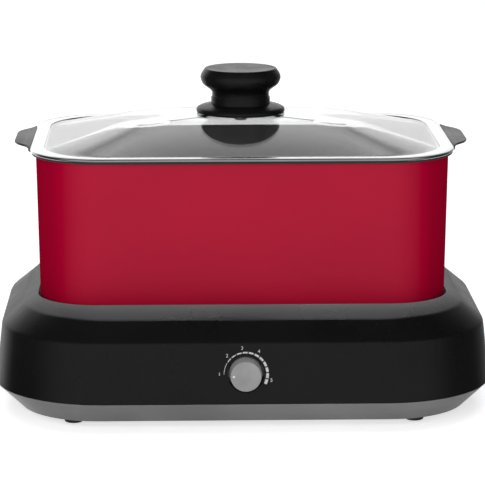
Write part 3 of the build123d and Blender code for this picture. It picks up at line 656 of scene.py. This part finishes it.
# %% Sizes
MOUTH_HALF, MOUTH_DEPTH, MOUTH_CORNER = 143.0, 95.6, 45.4
VESSEL_TAPER, VESSEL_CORNER_CHANGE = 2.1, 5.9
WALL, FLOOR, FLOOR_ROUND = 1.8, 2.6, 9.0
FLOOR_PATCH = 30.0         # where the flat floor's own face begins, inwards from the wall
FLANGE_REACH, FLANGE_SHEET = 3.0, 1.5
TAB_RISE = 2.0             # how far the finger tabs step up above the flange

flange_top = vessel_high.z / MM - TAB_RISE
vessel_bottom = vessel_low.z / MM
flange_bottom = flange_top - FLANGE_SHEET
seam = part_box("base_tray")[1].z / MM - 3.0
print("vessel from", round(vessel_bottom, 2), "to", round(flange_top, 2), "seam at", round(seam, 2))


def mouth(grow, z, corner=None):
    """The vessel's mouth, grown outwards."""
    radius = MOUTH_CORNER + grow if corner is None else corner
    return even(MOUTH_HALF + grow, MOUTH_DEPTH + grow, radius, z)


def wall(grow, z):
    """The vessel's tapered wall at a height, grown outwards."""
    drop = (flange_bottom - z) / (flange_bottom - vessel_bottom)
    taper = grow - VESSEL_TAPER * drop
    return even(MOUTH_HALF + taper, MOUTH_DEPTH + taper,
                MOUTH_CORNER - VESSEL_CORNER_CHANGE * drop + grow, z)


# %% [markdown]
# ## The vessel
#
# The real vessel is drawn from one sheet of aluminium: a flat floor that turns up into the wall
# through a generous radius, a flange that the lid sits on, and two finger tabs. It is made as
# one skin that runs from the middle of the underside, up the outside, over the flange and down the
# inside. The tabs are extruded from the flange's own edge, so that they are one sheet with it.
# Each tab steps up just outside the lid's rim and runs on level from there.

# %% Vessel skin
def floor_turn(outer, start_z, radius, up, steps=5):
    """Outlines round the turn between the floor and the wall; up is True from floor to wall."""
    turns = [index / steps * math.pi / 2 for index in range(steps + 1)]
    lines = []
    for angle in turns if up else reversed(turns):
        inset = radius * (1 - math.sin(angle))
        rise = radius * (1 - math.cos(angle))
        lines.append(wall(outer - inset, start_z + rise))
    return lines


outside = floor_turn(0.0, vessel_bottom, FLOOR_ROUND, True)
flange = [wall(0.0, flange_bottom), mouth(FLANGE_REACH, flange_bottom),
          mouth(FLANGE_REACH, flange_top)]
inside = [wall(-WALL, flange_top)]
inside += floor_turn(-WALL, vessel_bottom + FLOOR, FLOOR_ROUND - WALL, False)
vessel_lines = [wall(-FLOOR_PATCH, vessel_bottom)] + outside + flange + inside
vessel_lines += [wall(-FLOOR_PATCH, vessel_bottom + FLOOR)]
vessel = stack("vessel_body", vessel_lines)
bpy.ops.mesh.edge_face_add()
cap_end(vessel)
close_up(vessel)
print("vessel skin:", len(vessel.data.vertices), "vertices")

# %% [markdown]
# The flange's edge is one long face on each side. It is cut with `bisect` where the tab begins
# and ends, and the middle face is extruded outwards past the rim. The top of the last piece is
# then extruded upwards, which makes the step, and the step's outer face is extruded outwards,
# narrower each time. Bevels on the upright edges give the tab its round tip and soft shoulders.

# %% Finger tabs
STEP_REACH, STEP_OUTER = 4.3, 5.8                 # the step's two faces, from the vessel's wall
TAB_ROOT, STEP_HALF, TAB_SHOULDER, TAB_TIP = 47.0, 42.9, 37.5, 24.0       # half widths
SHOULDER_REACH, TAB_REACH = 7.8, 16.7
TIP_CUT, SHOULDER_CUT = 8.4, 1.4
PRESSED_EDGE = 0.0004      # metres; the small radius on every edge of the sheet

flange_edge = (MOUTH_HALF + FLANGE_REACH) * MM


def tab_out(side, reach, half, new_reach, new_half):
    """Extrudes the chosen face outwards, to -X or +X, and narrows it."""
    bpy.ops.mesh.extrude_region_move(
        TRANSFORM_OT_translate={"value": (side * (new_reach - reach) * MM, 0, 0)})
    bpy.ops.transform.resize(value=(1, new_half / half, 1), center_override=(0, centre_y, 0))


def faces_near(side, x, z):
    """A test for the faces in the middle of a tab, by where their centres are."""
    def wanted(face):
        middle = face.calc_center_median()
        return (abs(middle.x * side - (MOUTH_HALF + x) * MM) < 0.0001
                and abs(middle.z - z * MM) < 0.0001 and abs(middle.y - centre_y) < 0.001)
    return wanted


into_edit(vessel)
for side in (-1, 1):
    for cut in (-TAB_ROOT, TAB_ROOT):
        choose(vessel, "FACE", lambda face: all(
            abs(vertex.co.x * side - flange_edge) < NEAR for vertex in face.verts))
        bpy.ops.mesh.bisect(plane_co=(0, centre_y + cut * MM, 0), plane_no=(0, 1, 0))
    choose(vessel, "FACE", faces_near(side, FLANGE_REACH, flange_bottom + FLANGE_SHEET / 2))
    tab_out(side, FLANGE_REACH, TAB_ROOT, STEP_REACH, TAB_ROOT)
    tab_out(side, STEP_REACH, TAB_ROOT, STEP_OUTER, STEP_HALF)
    step_middle = (STEP_REACH + STEP_OUTER) / 2
    steps_up = choose(vessel, "FACE", faces_near(side, step_middle, flange_top))
    for rise in (TAB_RISE - FLANGE_SHEET, FLANGE_SHEET):
        bpy.ops.mesh.extrude_region_move(TRANSFORM_OT_translate={"value": (0, 0, rise * MM)})
    plate_middle = flange_top + TAB_RISE - FLANGE_SHEET / 2
    plates = choose(vessel, "FACE", faces_near(side, STEP_OUTER, plate_middle))
    tab_out(side, STEP_OUTER, STEP_HALF, SHOULDER_REACH, TAB_SHOULDER)
    tab_out(side, SHOULDER_REACH, TAB_SHOULDER, TAB_REACH, TAB_TIP)
    print("step faces:", steps_up, "plate faces:", plates)


def upright_at(reach, half):
    """A test for the upright edges at a place on the tabs."""
    def wanted(edge):
        first, last = edge.verts
        return (abs(first.co.z - last.co.z) > 0.001
                and all(abs(abs(v.co.x) - (MOUTH_HALF + reach) * MM) < 0.0001
                        and abs(abs(v.co.y - centre_y) - half * MM) < 0.0001 for v in edge.verts))
    return wanted


for reach, half, cut, steps in ((TAB_REACH, TAB_TIP, TIP_CUT, 12),
                                (SHOULDER_REACH, TAB_SHOULDER, SHOULDER_CUT, 4)):
    print("rounded", choose(vessel, "EDGE", upright_at(reach, half)), "upright edges")
    bpy.ops.mesh.bevel(offset=cut * MM, segments=steps, affect="EDGES")
apply_modifier(vessel, "BEVEL", width=PRESSED_EDGE, segments=3, limit_method="ANGLE",
               angle_limit=math.radians(50))

# %% [markdown]
# The enamel ends under the flange. Faces are picked by their place: whatever is lower than the
# flange and turned away from the axis is red, and the rest takes the non-stick coat. The vessel
# is hidden from mirror images, so that the sloping ring below it stays a neutral black.

# %% Two coats on one skin
COAT_EDGE = 0.05           # how far below the flange the non-stick coat ends
UNDERSIDE = 1.0            # faces less than this above the bottom are outside

vessel.data.materials.append(vessel_red)
vessel.data.materials.append(vessel_black)
into_edit(vessel)


def takes_nonstick(face):
    """True inside, on the floor's upper side, on the flange and on the tabs."""
    middle = face.calc_center_median()
    if middle.z > (flange_bottom - COAT_EDGE) * MM:
        return True
    drop = (flange_bottom - middle.z / MM) / (flange_bottom - vessel_bottom)
    reach = max(abs(middle.x) / MM - MOUTH_HALF, abs(middle.y - centre_y) / MM - MOUTH_DEPTH)
    outward = face.normal.x * middle.x + face.normal.y * (middle.y - centre_y)
    if middle.z < (vessel_bottom + UNDERSIDE) * MM:
        return False
    if abs(face.normal.z) > 0.7 and reach < -VESSEL_TAPER * drop - WALL:
        return face.normal.z > 0
    return outward < 0


choose(vessel, "FACE", takes_nonstick)
vessel.active_material_index = 1
bpy.ops.object.material_slot_assign()
finish_piece(vessel, "vessel", ["vessel"], "vessel_coat")
vessel.visible_glossy = False

# %% [markdown]
# ## The base shell
#
# The shell is one injection moulding: a band that leans in, two sloping rings above it, and a
# well that the vessel stands in. Its corners are tighter in front than behind. The skin starts at
# the seam, goes up outside, down into the well and back along the inside, so that it has a real
# wall. Bevels then round the creases as the mould does.

# %% Shell skin
SKIRT_HALF, SKIRT_FRONT, SKIRT_BACK = 172.3, 140.1, 140.1
SKIRT_FRONT_CORNER, SKIRT_BACK_CORNER = 77.0, 111.0
BAND_HEIGHT, BEVEL_HEIGHT, COLLAR_HEIGHT = 41.4, 12.6, 4.6
BAND_LEAN, BAND_CORNER_CHANGE = 4.8, 5.5
BEVEL_RUN, BEVEL_CORNER_CHANGE = 14.6, 9.5
SHELL_WALL = 2.8
WELL_GAP, LEDGE_REACH = 1.5, 8.0
PLATE = 4.0                # the heating plate, between the ledge and the vessel
SEAM_CHAMFER = 0.5
CREASE_ROUND, COLLAR_ROUND = 1.4, 0.9

shoulder = seam + BAND_HEIGHT
crown = shoulder + BEVEL_HEIGHT
collar = crown + COLLAR_HEIGHT


def base(inset, corner_change, z):
    """The base in plan, drawn in from its seam line."""
    return level(SKIRT_HALF - inset, SKIRT_FRONT - inset, SKIRT_BACK - inset,
                 SKIRT_FRONT_CORNER - corner_change, SKIRT_BACK_CORNER - corner_change, z)


def well(grow, z):
    """The well's outline at any height."""
    line = wall(WELL_GAP + grow, collar)
    line["z"] = z
    return line


lean, slope = BAND_LEAN, BAND_LEAN + BEVEL_RUN
lean_corner, slope_corner = BAND_CORNER_CHANGE, BAND_CORNER_CHANGE + BEVEL_CORNER_CHANGE
ledge_top = vessel_bottom - PLATE
shell_lines = [
    base(SEAM_CHAMFER, SEAM_CHAMFER, seam), base(0.0, 0.0, seam + SEAM_CHAMFER),
    base(lean, lean_corner, shoulder), base(slope, slope_corner, crown),
    well(0.0, collar), well(0.0, ledge_top), well(-LEDGE_REACH, ledge_top),
    well(-LEDGE_REACH, ledge_top - SHELL_WALL), well(SHELL_WALL, ledge_top - SHELL_WALL),
    well(SHELL_WALL, collar - SHELL_WALL),
    base(slope + SHELL_WALL, slope_corner + SHELL_WALL, crown - SHELL_WALL),
    base(lean + SHELL_WALL, lean_corner + SHELL_WALL, shoulder - SHELL_WALL / 2),
    base(SHELL_WALL, SHELL_WALL, seam)]
shell = stack("shell_body", shell_lines, steps=14)
join_ends(shell)
close_up(shell)
print("shoulder edges rounded:", round_level(shell, shoulder, CREASE_ROUND, 4))
print("crown edges rounded:", round_level(shell, crown, CREASE_ROUND, 4))
print("collar edges rounded:", round_level(shell, collar, COLLAR_ROUND, 3))

# %% [markdown]
# The dial's hole and the flat seat of the mains bush are cut by Boolean modifiers, with cutters
# that are simple cylinders. A cutter is deleted as soon as it has done its work.

# %% Holes in the shell
dial_low, dial_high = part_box("control_dial")
dial_centre = (dial_low + dial_high) / 2
gland_low, gland_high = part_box("inlet_gland")
gland_centre = (gland_low + gland_high) / 2
DIAL_HOLE, GLAND_HOLE, HOLE_SIDES = 12.4, 9.8, 64
CUT_PAST = 0.02            # metres; how far a cutter reaches past the wall
GLAND_FLANGE = 0.0044      # metres; the bush's flange, which sits on the flat seat


def cut_round(piece, z, radius, y_start, y_end):
    """Cuts a round hole along Y, in the middle of the object."""
    select_nothing()
    bpy.ops.mesh.primitive_cylinder_add(
        vertices=HOLE_SIDES, radius=radius, depth=y_end - y_start,
        location=(0.0, (y_start + y_end) / 2, z), rotation=(math.pi / 2, 0, 0))
    cutter = bpy.context.object
    bpy.context.view_layer.objects.active = piece
    apply_modifier(piece, "BOOLEAN", operation="DIFFERENCE", object=cutter, solver="EXACT")
    bpy.data.objects.remove(cutter)


cut_round(shell, dial_centre.z, DIAL_HOLE * MM, dial_low.y - CUT_PAST, dial_low.y + CUT_PAST)
gland_seat = gland_high.y - GLAND_FLANGE
cut_round(shell, gland_centre.z, GLAND_HOLE * MM, gland_seat, gland_high.y + CUT_PAST)
finish_piece(shell, "root", ["base_shell"], "shell_black", shell_black, angle=25.0)

# %% [markdown]
# ## The glass
#
# The lid is a slumped sheet of tempered glass: a flat edge that the steel rim holds, a slope, and
# a nearly flat top. Between the slope and the top there is a soft crease. The outlines are close
# together at that crease, and a subdivision surface smooths the rest. A lattice with five columns
# lowers the two ends of the top, because a slumped sheet is crowned and never quite flat. The
# sheet is first cut across with `bisect`, because a lattice can only move points that are there.
# Solidify gives the sheet its thickness, since glass bends light properly only with two faces.

# %% Glass dome
rim_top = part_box("lid_rim")[1].z / MM
glass_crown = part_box("lid_glass")[1].z / MM
RIM_BAND, RIM_OVERHANG, RIM_SHEET = 9.3, 3.8, 0.6
GLASS_SHEET, GLASS_GAP, HELD_EDGE = 3.5, 0.9, 0.8
WINDOW_CORNER, CORNER_SHRINK = 46.0, 0.45           # the shrink is per millimetre of run
SLOPE_RUN, SLOPE_RISE, SLOPE_BOW, TOP_BOW = 53.0, 15.0, 0.15, 0.9
CROWN_HALF, CROWN_CORNER = 10.0, 8.0
GLASS_HOLE, HOLE_CORNER = 4.2, 4.1
SLOPE_SHARES = (0.03, 0.12, 0.3, 0.5, 0.7, 0.87, 1.0)
TOP_SHARES = (0.14, 0.3, 0.5, 0.7, 0.9, 1.0)
LATTICE_CUTS = (-70.0, -50.0, -25.0, 0.0, 25.0, 50.0, 70.0)
CROWN_DROPS = (0.0, 1.6, 6.0)        # at the middle, half way and the end of the lid

glass_edge = rim_top - RIM_SHEET
edge_grow = RIM_OVERHANG - RIM_BAND


def slope_line(share):
    """The slope's outline, from 0 at the rim to 1 at the crease."""
    run = SLOPE_RUN * share
    rise = SLOPE_RISE * ((1 + SLOPE_BOW) * share - SLOPE_BOW * share * share)
    return mouth(edge_grow - run, glass_edge + rise, WINDOW_CORNER - run * CORNER_SHRINK)


def top_line(share):
    """The top's outline, from 0 at the crease to 1 at the crown."""
    crease = slope_line(1.0)
    half = crease["half"] + (CROWN_HALF - crease["half"]) * share
    depth = crease["front"] + (CROWN_HALF - crease["front"]) * share
    corner = crease["corners"][1] + (CROWN_CORNER - crease["corners"][1]) * share
    rise = (glass_crown - crease["z"]) * ((1 + TOP_BOW) * share - TOP_BOW * share * share)
    return even(half, depth, corner, crease["z"] + rise)


glass_lines = [mouth(-WALL - GLASS_GAP, glass_edge), mouth(edge_grow + HELD_EDGE, glass_edge)]
glass_lines += [slope_line(share) for share in SLOPE_SHARES]
glass_lines += [top_line(share) for share in TOP_SHARES]
glass_lines += [even(GLASS_HOLE, GLASS_HOLE, HOLE_CORNER, glass_crown)]
glass = stack("glass_dome", glass_lines, steps=6)
close_up(glass)
print("glass skin:", len(glass.data.vertices), "vertices")
into_edit(glass)
for cut in LATTICE_CUTS:
    choose(glass, "FACE", lambda face: True)
    bpy.ops.mesh.bisect(plane_co=(cut * MM, 0, 0), plane_no=(1, 0, 0))

# %% Crowned top
select_nothing()
bpy.ops.object.add(type="LATTICE", location=(0, centre_y, (glass_edge + glass_crown) / 2 * MM))
cage = bpy.context.object
columns, middle_column = 5, 2
cage.scale = (MOUTH_HALF * 2 * MM, MOUTH_DEPTH * 2 * MM, (glass_crown - glass_edge) * MM)
cage.data.points_u, cage.data.points_v, cage.data.points_w = columns, 2, 2
cage.data.interpolation_type_u = "KEY_CARDINAL"
cage.data.interpolation_type_v = cage.data.interpolation_type_w = "KEY_LINEAR"
for number, point in enumerate(cage.data.points):
    if number >= 2 * columns:                       # the upper layer comes last
        drop = CROWN_DROPS[abs(number % columns - middle_column)]
        point.co_deform.z -= drop / (glass_crown - glass_edge)
bpy.context.view_layer.update()
bpy.context.view_layer.objects.active = glass
apply_modifier(glass, "LATTICE", object=cage)
bpy.data.objects.remove(cage)
apply_modifier(glass, "SUBSURF", levels=2, render_levels=2)
apply_modifier(glass, "SOLIDIFY", thickness=GLASS_SHEET * MM, offset=-1.0)
finish_piece(glass, "lid", ["lid_glass"], "lid_glass", lid_glass, angle=60.0)

# %% [markdown]
# ## The lid's rim
#
# The rim is a strip of stainless steel, rolled over the edge of the glass. Its section is drawn
# once round: under the bead, over the flat band, down the inner leg and back. A bevel softens
# the folds, because sheet steel can't be bent to a sharp edge.

# %% Lid rim
BEAD = ((1.4, -2.3), (2.9, -2.3), (3.6, -1.9), (3.8, -1.2), (3.55, -0.4), (2.8, 0.0))
WINDOW_EDGE = ((-4.7, 0.0, 0.8), (-5.3, -0.15, 0.2), (-5.5, -0.6, 0.0))     # with extra corner
FOLD = ((-2.7, -0.6), (-2.7, -4.7), (-6.5, -4.7), (-6.5, -5.3), (-2.1, -5.3), (-2.1, -0.6),
        (1.4, -0.6))
FOLD_ROUND = 0.00015       # metres

rim_lines = [mouth(grow, rim_top + drop) for grow, drop in BEAD]
rim_lines += [mouth(grow, rim_top + drop, WINDOW_CORNER + extra)
              for grow, drop, extra in WINDOW_EDGE]
rim_lines += [mouth(grow, rim_top + drop) for grow, drop in FOLD]
rim = stack("rim_band", rim_lines, steps=16)
join_ends(rim)
close_up(rim)
apply_modifier(rim, "BEVEL", width=FOLD_ROUND, segments=2, limit_method="ANGLE",
               angle_limit=math.radians(40))
finish_piece(rim, "lid", ["lid_rim"], "rim_steel", rim_steel, angle=40.0)

# %% [markdown]
# ## The knob and its base
#
# Both are turned shapes: a ring is extruded and scaled again and again along a profile. The
# knob's profile is smoothed with a curve through its main points, so that it has no facets where
# the waist flares out. Its face is slightly dished, for the fingers that hold it from above.

# %% Knob
def through(points, steps):
    """More points on a smooth curve through the given ones."""
    padded = [points[0]] + list(points) + [points[-1]]
    found = []
    for before, start, end, after in zip(padded, padded[1:], padded[2:], padded[3:]):
        for index in range(steps):
            t = index / steps
            found.append(tuple(0.5 * (2 * b + (c - a) * t + (2 * a - 5 * b + 4 * c - d) * t * t
                                      + (3 * b - a - 3 * c + d) * t ** 3)
                               for a, b, c, d in zip(before, start, end, after)))
    return found + [points[-1]]


# Every point below is (radius, height above the knob's own foot).
BORE, BORE_DEPTH, NECK, WAIST = 2.6, 12.0, 20.9, 20.2
NECK_FOOT = ((BORE, 0.0), (NECK, 0.0), (NECK, 4.6), (WAIST, 4.8))
FLARE = ((WAIST, 8.0), (21.2, 9.7), (23.2, 11.4), (26.8, 14.2), (28.4, 18.2), (28.05, 20.6),
         (27.0, 22.7))
FLARE_STEPS = 4
LIP = ((25.5, 24.65), (25.3, 24.95), (24.9, 25.15), (24.3, 25.18))
DISH_RADIUS, DISH_TOP, DISH_DEPTH = 24.0, 25.2, 0.9

knob_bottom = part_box("lid_knob")[0].z / MM
dish = [(DISH_RADIUS * share, DISH_TOP - DISH_DEPTH * (1 - share * share))
        for share in (0.99, 0.8, 0.6, 0.4, 0.2, 0.05)]
knob_profile = [(BORE, BORE_DEPTH), *NECK_FOOT, *through(FLARE, FLARE_STEPS), *LIP, *dish]
knob = turned("knob_body", [(radius, knob_bottom + z) for radius, z in knob_profile])
into_edit(knob)
cap_end(knob)
close_up(knob)
finish_piece(knob, "lid", ["lid_knob"], "knob_black", knob_black, angle=40.0)

# %% Knob base
BASE_RADIUS, BASE_EDGE, BASE_WALL, BASE_HOLLOW, SCREW_HOLE = 31.4, 4.2, 3.0, 1.4, 2.8
# The rim of the base from below to above: (distance in from the radius, height from the bottom).
BASE_FOOT = ((BASE_WALL, BASE_HOLLOW), (BASE_WALL, 0.0), (1.2, 0.0), (0.35, 0.35), (0.0, 1.2))
# The same above the rim's widest part, with the height from the edge's top.
BASE_SHOULDER = ((0.0, -2.2), (0.35, -1.1), (1.4, -0.35), (3.0, 0.35))
SEAT_BLEND = (0.6, 0.12)             # how the cone meets the knob's neck: outwards, downwards

foot_low, foot_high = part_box("knob_base")
base_bottom, base_height = foot_low.z / MM, foot_high.z / MM - foot_low.z / MM
skirt = [(BASE_RADIUS - inset, z) for inset, z in BASE_FOOT]
skirt += [(BASE_RADIUS - inset, BASE_EDGE + z) for inset, z in BASE_SHOULDER]
skirt += [(NECK + SEAT_BLEND[0], base_height - SEAT_BLEND[1]), (NECK, base_height)]
foot_profile = [(SCREW_HOLE, BASE_HOLLOW), *skirt, (SCREW_HOLE, base_height)]
knob_base = turned("knob_foot", [(radius, base_bottom + z) for radius, z in foot_profile])
into_edit(knob_base)
choose(knob_base, "FACE", lambda face: len(face.verts) > 4)
bpy.ops.mesh.delete(type="FACE")
join_ends(knob_base)
close_up(knob_base)
finish_piece(knob_base, "lid", ["knob_base"], "knob_black", knob_black, angle=40.0)

# %% [markdown]
# ## The printed scale round the dial
#
# The scale is ink on the leaning front of the shell: an arc that starts thin and grows thicker in
# steps, and the numerals 1 to 5. It could be a texture, but thin meshes stay sharp at any size.
# Each mark is one short edge that is spun about the dial's axis. Everything is drawn lying flat,
# then stood up, leant back by the front's own lean and moved to the dial.

# %% Scale marks
SCALE_RADIUS, NUMBER_RADIUS, NUMBER_SIZE, INK = 14.6, 17.7, 3.4, 0.08
# Angles are in degrees clockwise from the top, and go on past 360.
OFF_START, OFF_END, OFF_WIDTH = 270.0, 301.0, 0.35
SCALE_START, SCALE_END, SCALE_MARKS, MARK_GAP = 304.0, 480.0, 11, 3.2
THIN_MARK, MARK_GROWTH = 0.5, 1.5
STEP_DEGREES = 4
NUMERAL_ANGLES = (270.0, 315.0, 352.0, 30.0, 104.0)
lean_angle = math.atan2(BAND_LEAN, BAND_HEIGHT)


def arc_mark(start, end, width):
    """A mark from one clock angle to another."""
    select_nothing()
    bpy.ops.mesh.primitive_plane_add(size=2.0, location=(0, 0, 0))
    mark = bpy.context.object
    into_edit(mark)
    choose(mark, "VERT", lambda vertex: vertex.co.x < 0)
    bpy.ops.mesh.delete(type="VERT")
    choose(mark, "VERT", lambda vertex: True)
    bpy.ops.transform.translate(value=(-1.0, 0, 0))
    bpy.ops.transform.resize(value=(1, width / 2 * MM, 1), center_override=(0, 0, 0))
    bpy.ops.transform.translate(value=(0, SCALE_RADIUS * MM, 0))
    bpy.ops.transform.rotate(value=math.radians(start), orient_axis="Z",
                             center_override=(0, 0, 0))
    choose(mark, "EDGE", lambda edge: True)
    steps = max(2, round((end - start) / STEP_DEGREES))
    bpy.ops.mesh.spin(steps=steps, angle=math.radians(end - start), center=(0, 0, 0),
                      axis=(0, 0, 1))
    bpy.ops.object.mode_set(mode="OBJECT")
    return mark


def join_pieces(pieces, name):
    """Joins several pieces into the first one."""
    select_only(*pieces)
    bpy.ops.object.join()
    pieces[0].name = name
    return pieces[0]


def stand_on_front(piece):
    """Gives a flat drawing its thickness of ink and puts it on the front, round the dial."""
    close_up(piece)
    apply_modifier(piece, "SOLIDIFY", thickness=INK * MM, offset=0.0)
    piece.rotation_euler = (math.pi / 2 - lean_angle, 0, 0)
    front = centre_y - (SKIRT_FRONT - BAND_LEAN * (dial_centre.z / MM - seam) / BAND_HEIGHT) * MM
    piece.location = (dial_centre.x, front, dial_centre.z)
    select_only(piece)
    bpy.ops.object.transform_apply(location=True, rotation=True, scale=True)


marks = [arc_mark(OFF_START, OFF_END, OFF_WIDTH)]
pitch = (SCALE_END - SCALE_START) / SCALE_MARKS
for index in range(SCALE_MARKS):
    start = SCALE_START + index * pitch
    width = THIN_MARK + MARK_GROWTH * (index + 1) / SCALE_MARKS
    marks.append(arc_mark(start, start + pitch - MARK_GAP, width))
scale = join_pieces(marks, "dial_scale")
stand_on_front(scale)
finish_piece(scale, "root", [], "pointer_white", print_grey)

# %% Numerals
numerals = []
for number, clock in enumerate(NUMERAL_ANGLES, 1):
    select_nothing()
    bpy.ops.object.text_add(location=(0, 0, 0))
    numeral = bpy.context.object
    numeral.data.body = str(number)
    numeral.data.size = NUMBER_SIZE * MM
    numeral.data.align_x, numeral.data.align_y = "CENTER", "CENTER"
    angle = math.radians(clock)
    numeral.location = (NUMBER_RADIUS * math.sin(angle) * MM,
                        NUMBER_RADIUS * math.cos(angle) * MM, 0)
    bpy.ops.object.convert(target="MESH")
    bpy.ops.object.transform_apply(location=True, rotation=True, scale=True)
    numerals.append(numeral)
numbers = join_pieces(numerals, "dial_numerals")
stand_on_front(numbers)
finish_piece(numbers, "root", [], "pointer_white", print_grey)

# %% [markdown]
# ## The floor and the light
#
# A catalogue studio has a pale floor, a bright wall behind the object and little light straight
# above. The wall is what the glass and the steel reflect, and the dark ceiling is what makes the
# sloping ring of the base look black. The world shader paints that room by direction, and soft
# area lights, which the glossy surfaces don't see, fill in the front and the floor. The floor
# glows a little itself, so that it stays pale beside the object, and mirrors don't see it either.

# %% Floor
FLOOR_SIZE, FLOOR_GLOW = 60.0, 0.6
select_nothing()
bpy.ops.mesh.primitive_plane_add(size=FLOOR_SIZE, location=(0, 0, 0))
floor = bpy.context.object
floor.name = "studio_floor"
floor.data.materials.append(moulded("floor_paper", (0.86, 0.86, 0.86), 0.7, fine=300.0,
                                    tooth=0.00002, patch=0.7, wear=0.0, specular=0.2))
paper = finishes["floor_paper"].node_tree.nodes["Principled BSDF"].inputs
paper["Emission Color"].default_value = (1.0, 1.0, 1.0, 1.0)
paper["Emission Strength"].default_value = FLOOR_GLOW
floor.visible_glossy = False
print("floor:", floor.name)

# %% World
# The wall behind, as (height of the direction, strength): brightest at 38 degrees.
WALL_GLOW = ((0.0, 1.2), (0.42, 1.25), (0.50, 0.7), (0.61, 1.8), (0.70, 1.45), (0.75, 1.35),
             (0.9, 0.02))
GLOW_SCALE = 2.0           # the ramp holds half of each strength, and a multiply doubles it again
RIGHT_WALL, FRONT_GLOW, SIDE_GLOW, ZENITH_GLOW = 0.25, 0.36, 0.03, 0.1
world = bpy.data.worlds.new("studio_room")
bpy.context.scene.world = world
world.use_nodes = True
room = world.node_tree
direction = node(room, "ShaderNodeTexCoord").outputs["Generated"]
way_to = node(room, "ShaderNodeSeparateXYZ", {"Vector": direction}).outputs
behind = remap(room, way_to["Y"], 0.5, 0.9)
behind = sums(room, "MULTIPLY", behind, remap(room, way_to["X"], 0.12, 0.5, 1.0, RIGHT_WALL))
ramp = node(room, "ShaderNodeValToRGB", {"Fac": way_to["Z"]})
stops = ramp.color_ramp.elements
while len(stops) < len(WALL_GLOW):
    stops.new(0.5)
for stop, (height, value) in zip(stops, WALL_GLOW):
    stop.position = height
    stop.color = (value / GLOW_SCALE, value / GLOW_SCALE, value / GLOW_SCALE, 1.0)
wall_glow = sums(room, "MULTIPLY", ramp.outputs["Color"], GLOW_SCALE)
in_front = remap(room, way_to["Y"], -0.2, -0.7, SIDE_GLOW, FRONT_GLOW)
open_side = sums(room, "MULTIPLY", in_front, remap(room, way_to["Z"], 0.45, 0.7, 1.0, ZENITH_GLOW))
glow = sums(room, "ADD", sums(room, "MULTIPLY", behind, wall_glow), open_side)
seen_directly = node(room, "ShaderNodeLightPath").outputs["Is Camera Ray"]
reflected = sums(room, "MULTIPLY", glow, sums(room, "SUBTRACT", 1.0, seen_directly))
strength = sums(room, "ADD", reflected, seen_directly)
background = room.nodes["Background"]
background.inputs["Color"].default_value = (1.0, 1.0, 1.0, 1.0)
put(room, background.inputs["Strength"], strength)
print("room painted")

# %% Lights
def soft_light(name, place, target, size, power):
    """A square area light that looks at a target and leaves no mirror image of itself."""
    data = bpy.data.lights.new(name, "AREA")
    data.size = size
    data.energy = power
    light = bpy.data.objects.new(name, data)
    light.location = place
    towards = [there - here for here, there in zip(place, target)]
    flat = math.hypot(towards[0], towards[1])
    light.rotation_euler = (math.atan2(flat, -towards[2]), 0, math.atan2(-towards[0], towards[1]))
    light.visible_glossy = False
    bpy.context.scene.collection.objects.link(light)


soft_light("key_front", (-0.6, -2.6, 1.3), (0, 0, 0.1), 2.4, 50.0)
soft_light("fill_left", (-2.6, -0.3, 1.2), (0, 0, 0.1), 1.8, 3.0)
soft_light("fill_right", (2.6, -0.3, 1.2), (0, 0, 0.1), 1.8, 1.5)
soft_light("top_floor", (0.0, 0.3, 3.0), (0, 0.3, 0.0), 3.5, 60.0)
bpy.context.scene.view_settings.view_transform = "Standard"
